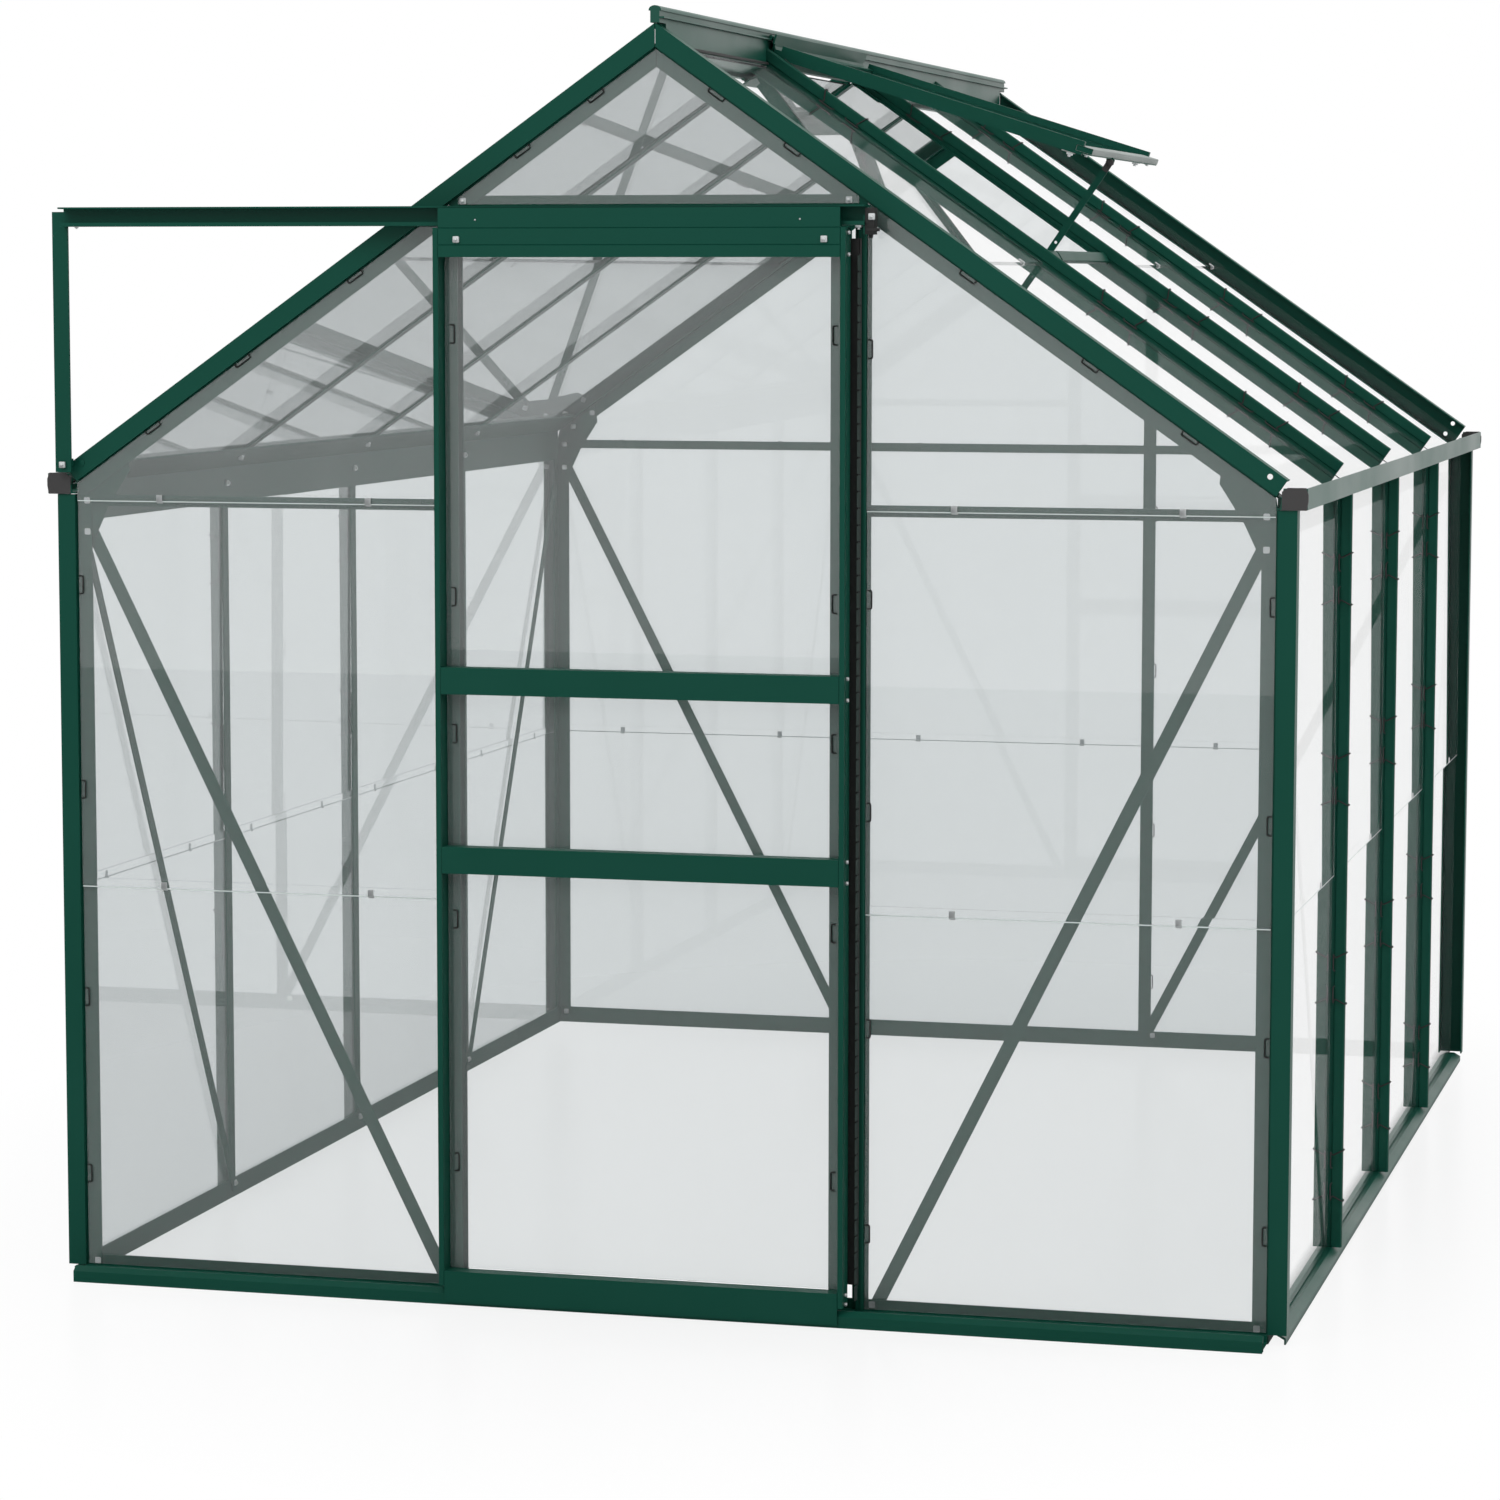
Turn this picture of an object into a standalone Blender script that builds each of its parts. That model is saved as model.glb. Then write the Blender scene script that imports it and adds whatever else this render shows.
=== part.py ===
"""Greenhouse with a sliding door and an opening roof vent.

Aluminium glazing bars stand on four sills and carry lapped glass panes. The door hangs on two rollers
in a track over the doorway and slides to the left. The vent hinges on the ridge and is held by a stay.
Units are metres, +Z is up, the door side faces -Y, and the floor is at z = 0.
"""
import math

import bmesh
import bpy
from mathutils import Matrix, Vector

# Overall sizes
HALF_WIDTH = 0.950          # outer faces of the side bars from the middle
LENGTH = 2.520              # front faces to rear faces of the gable bars
BAYS = 4
BAY = LENGTH / BAYS
ROOF_RISE = 0.7023          # rise of the roof over run
BAR_REACH = 0.026           # side and roof bars stand this far out of the glass plane
GABLE_REACH = 0.009         # gable bars stand this far out of the glass plane

# Sheet, glass and clearances
SHEET = 0.0025              # wall of an extrusion
FLANGE = 0.0020             # flange that the glass lies on
GLASS = 0.0030
GAP = 0.0003                # between pieces that touch
BITE = 0.0002               # overlap of solids that are joined
EDGE = 0.0030               # glass edge to bar

# Heights
FOOT_Z = 0.0165             # feet of the studs
EAVE_Z = 1.2146             # underside of the gutter
EAVE_DROP = 0.01827         # from the roof's glass plane over the wall glass down to it
APEX_Z = EAVE_Z + EAVE_DROP + ROOF_RISE * (HALF_WIDTH - BAR_REACH)
RAIL_LOW_Z = EAVE_Z - 0.0186        # gable rail at eave level
RAIL_HIGH_Z = RAIL_LOW_Z + 0.017
WALL_LAP_Z = 0.611          # lap of the wall panes
EAVE_LAP_Z = RAIL_LOW_Z + 0.009     # lap of the gable panes at the rail
UPSTAND_Z = 0.032           # inner upstand of the sills

# Glazing bars
FLANGE_HALF = 0.0125
WEB_HALF = 0.0040
NOSE_HALF = 0.0060
NOSE_ROOT = 0.0080          # height at which the web widens into the nose
NOSE_EASE = 0.0020
GROOVE_HALF = 0.0015
GABLE_ROOT = 0.0040
CORNER_FLANGE = 0.0260      # corner bar flange along both walls
CORNER_RETURN = 0.0160      # return of its outer face behind the glass plane
RAFTER_FLANGE = 0.0120      # rafter flange under the roof glass
HOLE_R = 0.0042             # hole near the lower end of a rafter
JAMB_X = 0.3125             # gable bars from the middle
APEX_GAP = 0.0006           # half the gap between the two rafters of a gable
APEX_PLATE = 0.0480         # half length of the plate behind that gap
STRIP = 0.0200              # width of a brace
STRIP_T = 0.0020

# Sills
SILL_REACH = 0.0230         # side and rear sills out of the glass plane
SHELF_REACH = 0.0110
LIP_Z = 0.0095
FRONT_LIP_Y = -0.0500       # outer face of the front sill
FRONT_LIP_Z = 0.0170
FRONT_RIDGE_Z = 0.0240
FRONT_RIDGE_Y = -0.0400
FRONT_RECESS_Z = 0.0060

# Gutters
GUTTER_OUT = HALF_WIDTH + 0.0147
GUTTER_HIGH = 0.0307
GUTTER_SHEET = 0.0022
GUTTER_LEG = 0.0560         # sloping leg under the roof bars
GUTTER_WEB_Z = EAVE_Z - 0.0426      # lower edge of the inner web
CAP_T = 0.0025

# Ridge
RIDGE_TOP = APEX_Z + 0.0572
RIDGE_EAVE = RIDGE_TOP - 0.0065     # lower edge of the cap
RIDGE_CAP_HALF = 0.0095
RIDGE_WEB_HALF = 0.0070
RIDGE_WEB_LOW = APEX_Z - 0.0018
RIDGE_LEDGE = 0.0140        # ledge on the vent side that the vent's bead rests on
RIDGE_OVERHANG = 0.0100
SPLICE_HALF = 0.0450        # half length of the plate that joins two roof bars

# Gussets at the eaves
GUSSET_T = 0.0030

# Door
DOOR_FRONT = -0.0535
DOOR_LEFT = -(JAMB_X + 0.0135)
DOOR_RIGHT = JAMB_X - 0.0125
TRACK_LOW = APEX_Z - ROOF_RISE * JAMB_X - 0.0433
STILE_NOSE = 0.0080
STILE_DEPTH = 0.0280
STILE_FLANGE = 0.0285
DOOR_BACK = 0.0325          # door front to the back of its flanges
DOOR_GLASS_BACK = 0.0295    # door front to the back of its glass
HEADER_LOW = TRACK_LOW - 0.0460
HEADER_HIGH = TRACK_LOW + 0.0260
HEADER_SHELF = TRACK_LOW - 0.0055
HEADER_GROOVES = (TRACK_LOW - 0.0282, TRACK_LOW - 0.0035)
GROOVE_T = 0.0010
RAIL_A = (0.9260, 0.9660)
RAIL_B = (0.6570, 0.6970)
BOTTOM_RAIL = (0.0045, 0.0520)
STILE_LOW = 0.0300
STILE_TOP = TRACK_LOW - 0.0030
DOOR_TRAVEL = 0.590

# Door track
TRACK_LEFT = -(HALF_WIDTH - 0.0260)
TRACK_RIGHT = JAMB_X + 0.0120
TRACK_HIGH = TRACK_LOW + 0.0290
TRACK_FRONT = -0.0455
TRACK_WEB = -0.0225         # front face of its web
TRACK_LIP = -0.0400         # front face of its lower lip
TRACK_LIP_Z = TRACK_LOW + 0.0058
TRACK_BACK = -GAP
STOP_X = TRACK_RIGHT + 0.0129
STRUT_X = (TRACK_LEFT - 0.0200, TRACK_LEFT + 0.0050)
STRUT_LOW = EAVE_Z + 0.0334
STRUT_T = 0.0040
CROSSBAR = (TRACK_HIGH + 0.0010, TRACK_HIGH + 0.0160)

# Rollers
AXLE_Z = TRACK_LOW + 0.0116
AXLE_X = (DOOR_LEFT + 0.0666, DOOR_RIGHT - 0.0671)
ROLLER_Y = (-0.0362, -0.0252)
AXLE_R = 0.0025

# Roof vent, along its slope from the hinge and above the hinge
HINGE_X = 0.0125
HINGE_Z = RIDGE_TOP - 0.0130
HINGE_R = 0.0030
VENT_OPEN = 17.48           # degrees below level at rest
SILL_S = 0.5290             # upper edge of the opening sill, down the slope from the apex
VENT_LONG = SILL_S + 0.0070 # lower ends of the side rails
VENT_START = 0.0222
VENT_TOP = -0.0088
VENT_DEEP = 0.0220
VENT_RAIL = 0.0100
VENT_SIDE = 0.0025          # between the side rails and the noses of the roof bars
VENT_GLASS = -0.0223        # middle of its pane
VENT_HOLD = 0.0060          # depth of the groove that the pane sits in
VENT_SLACK = 0.0010
VENT_BAR = (-0.0275, -0.0170)   # lower bar, below the hinge
VENT_BAR_WIDE = 0.0260
SILL_WIDE = 0.0060
SILL_TOP = 0.0120
SILL_LOW = 0.0040
STAY_A = VENT_LONG + 0.0152 # pivot of the stay along the vent and under the hinge
STAY_B = -0.0335
STAY_ANGLE = 72.98          # between the stay and the vent at rest
STAY_LONG = 0.300
STAY_WIDE = 0.0110
STAY_T = 0.0020
STAY_Y = 0.8200
STAY_HOLES = 5

# Derived planes
SIDE_X = HALF_WIDTH - BAR_REACH
FRONT_Y = GABLE_REACH
REAR_Y = LENGTH - GABLE_REACH
SLOPE = math.atan(ROOF_RISE)
COS = math.cos(SLOPE)
SIN = math.sin(SLOPE)
BAR_END_S = SIDE_X / COS - 0.0045
ROOF_GLASS_END = BAR_END_S + 0.0110
ROOF_LAP_S = SILL_S + 0.0270
REAR_OUT = REAR_Y + SILL_REACH
MID_Y = (DOOR_FRONT + REAR_OUT) / 2
PLATE_IN = FLANGE + GAP     # behind the flanges
PLATE_BACK = PLATE_IN + SHEET
ROLLER_R = AXLE_Z - TRACK_LOW - SHEET - GAP

X = Vector((1, 0, 0))
Y = Vector((0, 1, 0))
Z = Vector((0, 0, 1))

GREEN = (0.0105, 0.074, 0.048)
COLOURS = {
    "paint": (GREEN, 0.42, 0.0),
    "glass": ((0.80, 0.83, 0.84), 0.05, 0.0),
    "plastic": ((0.035, 0.035, 0.035), 0.55, 0.0),
    "zinc": ((0.62, 0.63, 0.64), 0.35, 1.0),
    "aluminium": ((0.72, 0.73, 0.74), 0.38, 1.0),
}


def clear_scene():
    for obj in list(bpy.data.objects):
        bpy.data.objects.remove(obj, do_unlink=True)


def collection(name):
    group = bpy.data.collections.new(name)
    bpy.context.scene.collection.children.link(group)
    return group


def material(name, kind):
    colour, roughness, metallic = COLOURS[kind]
    made = bpy.data.materials.new(name)
    made.use_nodes = True
    shader = made.node_tree.nodes["Principled BSDF"]
    shader.inputs["Base Color"].default_value = (*colour, 1.0)
    shader.inputs["Roughness"].default_value = roughness
    shader.inputs["Metallic"].default_value = metallic
    if kind == "glass":
        shader.inputs["Transmission Weight"].default_value = 0.9
    return made


def place(x, y, z):
    return Vector((x, y - MID_Y, z))


def outline_mesh(name, points):
    """Closed outline as a filled 2D curve, one unit either side of its plane, welded into a solid."""
    curve = bpy.data.curves.new(name, "CURVE")
    curve.dimensions = "2D"
    curve.fill_mode = "BOTH"
    curve.extrude = 1.0
    spline = curve.splines.new("POLY")
    spline.points.add(len(points) - 1)
    for point, (u, v) in zip(spline.points, points):
        point.co = (u, v, 0.0, 1.0)
    spline.use_cyclic_u = True
    holder = bpy.data.objects.new(name, curve)
    bpy.context.scene.collection.objects.link(holder)
    bpy.context.view_layer.update()
    depsgraph = bpy.context.evaluated_depsgraph_get()
    mesh = bpy.data.meshes.new_from_object(holder.evaluated_get(depsgraph))
    bpy.data.objects.remove(holder, do_unlink=True)
    bpy.data.curves.remove(curve)
    bm = bmesh.new()
    bm.from_mesh(mesh)
    bmesh.ops.remove_doubles(bm, verts=bm.verts, dist=0.00001)
    bmesh.ops.recalc_face_normals(bm, faces=bm.faces)
    bm.to_mesh(mesh)
    bm.free()
    mesh.name = name
    return mesh


def prism(name, points, origin, u, v, along, start, end, group, start_cut=None, end_cut=None):
    """Outline in the u, v plane, run along a direction; a cut gives each corner its own end."""
    mesh = outline_mesh(name, points)
    w = u.cross(v)
    sign = 1.0 if w.dot(along) > 0 else -1.0
    for vertex in mesh.vertices:
        at_end = vertex.co.z * sign > 0
        reach = end if at_end else start
        cut = end_cut if at_end else start_cut
        if cut:
            reach = cut(vertex.co.x, vertex.co.y)
        vertex.co.z = reach * sign
    if sign < 0:
        mesh.update()
    obj = bpy.data.objects.new(name, mesh)
    obj.matrix_world = Matrix.Translation(origin) @ Matrix((u, v, w)).transposed().to_4x4()
    group.objects.link(obj)
    return obj


def box(name, low, high, group):
    points = [(low[0], low[1]), (high[0], low[1]), (high[0], high[1]), (low[0], high[1])]
    return prism(name, points, place(0, 0, 0), X, Y, Z, low[2], high[2], group)


def rod(name, origin, axis, radius, start, end, group, sides=20):
    """Round bar about an axis."""
    side = X if abs(axis.x) < 0.5 else Z
    v = axis.cross(side).normalized()
    u = v.cross(axis)
    points = []
    for step in range(sides):
        angle = 2 * math.pi * step / sides
        points.append((radius * math.cos(angle), radius * math.sin(angle)))
    return prism(name, points, origin, u, v, axis, start, end, group)


def combine(target, pieces, operation="UNION"):
    for piece in pieces:
        if piece.name not in cutters.objects:
            for owner in list(piece.users_collection):
                owner.objects.unlink(piece)
            cutters.objects.link(piece)
        piece.hide_render = True
        piece.display_type = "WIRE"
        step = target.modifiers.new(piece.name, "BOOLEAN")
        step.operation = operation
        step.operand_type = "OBJECT"
        step.solver = "EXACT"
        step.object = piece
    return target


def finish(obj, kind):
    obj.data.materials.clear()
    obj.data.materials.append(material(obj.name, kind))
    return obj


def down(side):
    return Vector((side * COS, 0, -SIN))


def normal(side):
    return Vector((side * SIN, 0, COS))


def roof_z(x, off=0.0):
    """Height of the plane lying off above the roof glass plane."""
    return APEX_Z - ROOF_RISE * abs(x) + off / COS


def bar_outline(reach, root, ease):
    """Glazing bar section: flange behind the glass, web between panes, grooved nose outside."""
    half = [
        (GROOVE_HALF, reach - GROOVE_HALF),
        (GROOVE_HALF, reach),
        (NOSE_HALF - ease, reach),
        (NOSE_HALF, reach - ease),
        (NOSE_HALF, root + ease),
        (WEB_HALF, root),
        (WEB_HALF, 0.0),
        (FLANGE_HALF, 0.0),
        (FLANGE_HALF, -FLANGE),
    ]
    mirrored = [(-u, v) for u, v in reversed(half)]
    return half + mirrored


BAR = bar_outline(BAR_REACH, NOSE_ROOT, NOSE_EASE)
GABLE_BAR = bar_outline(GABLE_REACH, GABLE_ROOT, NOSE_EASE / 2)


def corner_outline(flange):
    """Corner bar section: outer faces with a return, and a flange behind each of the two panes."""
    return [
        (BAR_REACH, GABLE_REACH),
        (-FLANGE, GABLE_REACH),
        (-FLANGE, 0.0),
        (-CORNER_FLANGE, 0.0),
        (-CORNER_FLANGE, -FLANGE),
        (-FLANGE, -FLANGE),
        (-FLANGE, -flange),
        (0.0, -flange),
        (0.0, GABLE_REACH - SHEET),
        (BAR_REACH - SHEET, GABLE_REACH - SHEET),
        (BAR_REACH - SHEET, -CORNER_RETURN),
        (BAR_REACH, -CORNER_RETURN),
    ]


def sill_outline():
    """Side and rear sill section: upstand, shelf for the studs, slope and lip, open underneath."""
    shelf = FOOT_Z - GAP
    return [
        (-PLATE_BACK, 0.0),
        (-PLATE_IN, 0.0),
        (-PLATE_IN, shelf - SHEET),
        (SHELF_REACH - SHEET, shelf - SHEET),
        (SILL_REACH - SHEET, LIP_Z - SHEET),
        (SILL_REACH - SHEET, 0.0),
        (SILL_REACH, 0.0),
        (SILL_REACH, LIP_Z),
        (SHELF_REACH, shelf),
        (-PLATE_IN, shelf),
        (-PLATE_IN, UPSTAND_Z),
        (-PLATE_BACK, UPSTAND_Z),
    ]


def front_sill_outline():
    """Front sill section: as the others, with a recess and a ridged lip that the door runs over."""
    shelf = FOOT_Z - GAP
    lip = FRONT_Y - FRONT_LIP_Y
    ridge = FRONT_Y - FRONT_RIDGE_Y
    return [
        (-PLATE_BACK, 0.0),
        (-PLATE_IN, 0.0),
        (-PLATE_IN, shelf - SHEET),
        (SHELF_REACH - SHEET, shelf - SHEET),
        (SHELF_REACH - SHEET, FRONT_RECESS_Z - SHEET),
        (ridge - SHEET, FRONT_RECESS_Z - SHEET),
        (ridge - SHEET, 0.0),
        (ridge, 0.0),
        (ridge, FRONT_LIP_Z - SHEET),
        (lip - SHEET, FRONT_LIP_Z - SHEET),
        (lip - SHEET, 0.0),
        (lip, 0.0),
        (lip, FRONT_LIP_Z),
        (ridge, FRONT_RIDGE_Z),
        (ridge - SHEET, FRONT_RIDGE_Z),
        (ridge - SHEET, FRONT_RECESS_Z),
        (SHELF_REACH, FRONT_RECESS_Z),
        (SHELF_REACH, shelf),
        (-PLATE_IN, shelf),
        (-PLATE_IN, UPSTAND_Z),
        (-PLATE_BACK, UPSTAND_Z),
    ]


def strip(name, start, end, out, origin, across, depth, group):
    """Flat brace between two points given as (across, up), lying behind the flanges."""
    a = Vector(start)
    b = Vector(end)
    run = (b - a).normalized()
    side = Vector((-run.y, run.x)) * STRIP / 2
    points = [tuple(a - side), tuple(b - side), tuple(b + side), tuple(a + side)]
    return prism(name, points, origin, across, Z, out, -depth - STRIP_T, -depth, group)


def make_sills():
    half = SIDE_X - PLATE_IN
    inset = PLATE_BACK + GAP
    for side, name in ((-1, "left_sill"), (1, "right_sill")):
        sill = prism(name, sill_outline(), place(side * SIDE_X, 0, 0), X * side, Z, Y,
                     FRONT_Y + inset, REAR_Y - inset, main)
        origin = place(side * SIDE_X, 0, 0)
        brace_top = EAVE_Z - 0.0966
        brace_foot = FOOT_Z - SHEET
        braces = []
        for end, high, low in (("front", 0.050, BAY), ("rear", LENGTH - 0.050, LENGTH - BAY)):
            braces.append(strip(f"{name}_{end}_brace", (high, brace_top), (low, brace_foot), X * side,
                                origin, Y, PLATE_BACK - BITE, cutters))
        finish(combine(sill, braces), "paint")
    front = prism("front_sill", front_sill_outline(), place(0, FRONT_Y, 0), -Y, Z, X, -half, half, main)
    finish(front, "paint")
    rear = prism("rear_sill", sill_outline(), place(0, REAR_Y, 0), Y, Z, X, -half, half, main)
    finish(rear, "paint")


def make_posts():
    for side, side_name in ((-1, "left"), (1, "right")):
        for out, gable, gable_name in ((-1, FRONT_Y, "front"), (1, REAR_Y, "rear")):
            post = prism(f"{gable_name}_{side_name}_post", corner_outline(CORNER_FLANGE),
                         place(side * SIDE_X, gable, 0), X * side, Y * out, Z,
                         FOOT_Z, EAVE_Z - 3 * GAP, main)
            finish(post, "paint")
        for index in range(1, BAYS):
            stud = prism(f"{side_name}_stud_{index}", BAR, place(side * SIDE_X, BAY * index, 0),
                         Y * -side, X * side, Z, FOOT_Z, EAVE_Z - GAP, main)
            finish(stud, "paint")


def jamb(name, side, gable, out, group):
    """Gable bar from the sill to the flange of the rafter, its top cut to the roof slope."""
    u = X * out
    top = CORNER_FLANGE + GAP

    def cut(across, outward):
        return roof_z(side * JAMB_X + across * out, -top)

    return prism(name, GABLE_BAR, place(side * JAMB_X, gable, 0), u, Y * out, Z, FOOT_Z, 1.0, group,
                 None, cut)


def gusset(name, side, gable, out, group):
    """Eave gusset behind the corner post and the rafter."""
    far = -PLATE_IN
    points = [
        (far, EAVE_Z - 0.0646),
        (-0.031, EAVE_Z - 0.0646),
        (-0.052, EAVE_Z - 0.0206),
        (-0.088, EAVE_Z + 0.0354),
        (-0.084, roof_z(SIDE_X - 0.084, -0.006)),
        (far - 0.004, roof_z(SIDE_X - 0.006, -0.006)),
        (far, EAVE_LAP_Z),
    ]
    return prism(name, points, place(side * SIDE_X, gable, 0), X * side, Z, Y * out,
                 -PLATE_IN - GUSSET_T, -PLATE_IN, group)


def gable_frame(name, gable, out, door):
    """Gable bars, eave rail, gussets and braces, all in the plane of one gable."""
    base = jamb(name, -1, gable, out, main)
    parts = [jamb(f"{name}_right_bar", 1, gable, out, cutters)]
    back = -PLATE_BACK
    face = -GAP
    inner = JAMB_X if door else -1
    reach = SIDE_X - CORNER_FLANGE - GAP
    section = [(back, RAIL_LOW_Z), (face, RAIL_LOW_Z), (face, RAIL_HIGH_Z), (back, RAIL_HIGH_Z)]
    origin = place(0, gable, 0)
    if door:
        for side in (-1, 1):
            parts.append(prism(f"{name}_rail_{side}", section, origin, Y * out, Z, X * side,
                               JAMB_X, reach, cutters))
        face = -PLATE_IN
        over = [(back, CROSSBAR[0]), (face, CROSSBAR[0]), (face, CROSSBAR[1]), (back, CROSSBAR[1])]
        span = JAMB_X - 0.008
        parts.append(prism(f"{name}_crossbar", over, origin, Y * out, Z, X, -span, span, cutters))
        tab = CROSSBAR[0] - 0.045
        for side in (-1, 1):
            near = side * (JAMB_X - FLANGE_HALF)
            far = side * (JAMB_X + 0.010)
            plate = [(near, tab), (far, tab), (far, CROSSBAR[0] + 0.001), (near, CROSSBAR[1] - 0.004)]
            parts.append(prism(f"{name}_tab_{side}", plate, origin, X, Z, Y * out,
                               back + BITE, face - BITE, cutters))
            parts.append(rod(f"{name}_tab_bolt_{side}", origin + X * side * JAMB_X + Z * (tab + 0.012),
                             Y * out, 0.004, back + SHEET / 2, -FLANGE / 2, cutters, 12))
    else:
        parts.append(prism(f"{name}_rail", section, origin, Y * out, Z, X, -reach, reach, cutters))
    for side in (-1, 1):
        parts.append(gusset(f"{name}_gusset_{side}", side, gable, out, cutters))
        foot = JAMB_X + 0.022 if door else JAMB_X + 0.002
        parts.append(strip(f"{name}_brace_{side}", (SIDE_X - 0.020, EAVE_Z - 0.0496), (foot, 0.020), Y * out,
                           origin, X * side, PLATE_BACK + GAP, cutters))
    return finish(combine(base, parts), "paint")


def make_rafters():
    for out, gable, name in ((-1, FRONT_Y, "front_rafters"), (1, REAR_Y, "rear_rafters")):
        pair = []
        for side, owner in ((-1, main), (1, cutters)):
            def apex(p, q, side=side):
                return (APEX_GAP - p * SIN) / COS

            label = name if side < 0 else f"{name}_right"
            pair.append(prism(label, corner_outline(RAFTER_FLANGE), place(0, gable, APEX_Z), normal(side),
                              Y * out, down(side), 0.0, BAR_END_S, owner, apex))
        high = FLANGE + 2 * BITE
        low = CORNER_FLANGE - 2 * BITE
        plate = [
            (-APEX_PLATE, roof_z(APEX_PLATE, -high)),
            (0.0, roof_z(0, -high)),
            (APEX_PLATE, roof_z(APEX_PLATE, -high)),
            (APEX_PLATE, roof_z(APEX_PLATE, -low)),
            (0.0, roof_z(0, -low)),
            (-APEX_PLATE, roof_z(APEX_PLATE, -low)),
        ]
        plate_solid = prism(f"{name}_plate", plate, place(0, gable, 0), X, Z, Y * out,
                            -FLANGE - SHEET, -FLANGE + BITE, cutters)
        combine(pair[0], [pair[1], plate_solid])
        holes = []
        for side in (-1, 1):
            spot = place(0, gable, APEX_Z) + down(side) * (BAR_END_S - 0.0235) + normal(side) * 0.0155
            holes.append(rod(f"{name}_hole_{side}", spot, Y * out, HOLE_R, GABLE_REACH - 2 * SHEET,
                             GABLE_REACH + SHEET, cutters, 24))
        finish(combine(pair[0], holes, "DIFFERENCE"), "paint")


def make_roof_bars():
    """Roof bars in pairs, joined by a splice plate under the ridge."""
    for index in range(1, BAYS):
        name = f"roof_bars_{index}"
        y = BAY * index
        pair = []
        for side, owner in ((-1, main), (1, cutters)):
            def apex(u, v, side=side):
                return (RIDGE_WEB_HALF + GAP - v * SIN) / COS

            label = name if side < 0 else f"{name}_right"
            pair.append(prism(label, BAR, place(0, y, APEX_Z), Y * side, normal(side), down(side),
                              0.0, BAR_END_S, owner, apex))
        top = FLANGE / COS - BITE
        deep = SHEET / COS
        outer = SPLICE_HALF * ROOF_RISE
        plate = [
            (-SPLICE_HALF, -top - outer),
            (0.0, -top),
            (SPLICE_HALF, -top - outer),
            (SPLICE_HALF, -top - outer - deep),
            (0.0, -top - deep),
            (-SPLICE_HALF, -top - outer - deep),
        ]
        splice = prism(f"{name}_splice", plate, place(0, y, APEX_Z), X, Z, Y,
                       -FLANGE_HALF, FLANGE_HALF, cutters)
        finish(combine(pair[0], [pair[1], splice]), "paint")


def make_gutters():
    for side, name in ((-1, "left_gutter"), (1, "right_gutter")):
        start = -GAP - BITE
        floor = EAVE_Z
        web = SIDE_X - PLATE_IN
        trough = [
            (web - 0.0012, floor),
            (GUTTER_OUT, floor),
            (GUTTER_OUT, floor + GUTTER_HIGH),
            (GUTTER_OUT - GUTTER_SHEET, floor + GUTTER_HIGH),
            (GUTTER_OUT - GUTTER_SHEET, floor + GUTTER_SHEET),
            (web - 0.0012, floor + GUTTER_SHEET),
        ]
        gutter = prism(name, trough, place(0, 0, 0), X * side, Z, Y,
                       start - CAP_T / 2, LENGTH - start + CAP_T / 2, main)
        leg_x = web - GUTTER_LEG * COS
        under = -PLATE_IN
        back = -PLATE_BACK
        inner = [
            (SIDE_X - PLATE_BACK, GUTTER_WEB_Z),
            (web, GUTTER_WEB_Z),
            (web, roof_z(web, under)),
            (leg_x, roof_z(leg_x, under)),
            (leg_x, roof_z(leg_x, back)),
            (SIDE_X - PLATE_BACK, roof_z(SIDE_X - PLATE_BACK, back)),
        ]
        clear = FRONT_Y + PLATE_BACK + STRIP_T + 2 * GAP
        web_solid = prism(f"{name}_web", inner, place(0, 0, 0), X * side, Z, Y,
                          clear, LENGTH - clear, cutters)
        cap = [
            (SIDE_X + 0.001, floor),
            (GUTTER_OUT - 0.0022, floor),
            (GUTTER_OUT, floor + 0.019),
            (GUTTER_OUT - 0.001, floor + GUTTER_HIGH),
            (SIDE_X + 0.006, floor + GUTTER_HIGH),
        ]
        caps = []
        rear_start = LENGTH - start
        for end, low, high in (("front", start - CAP_T, start), ("rear", rear_start, rear_start + CAP_T)):
            caps.append(prism(f"{name}_{end}_cap", cap, place(0, 0, 0), X * side, Z, Y, low, high, cutters))
        finish(combine(gutter, [web_solid] + caps), "paint")


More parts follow.
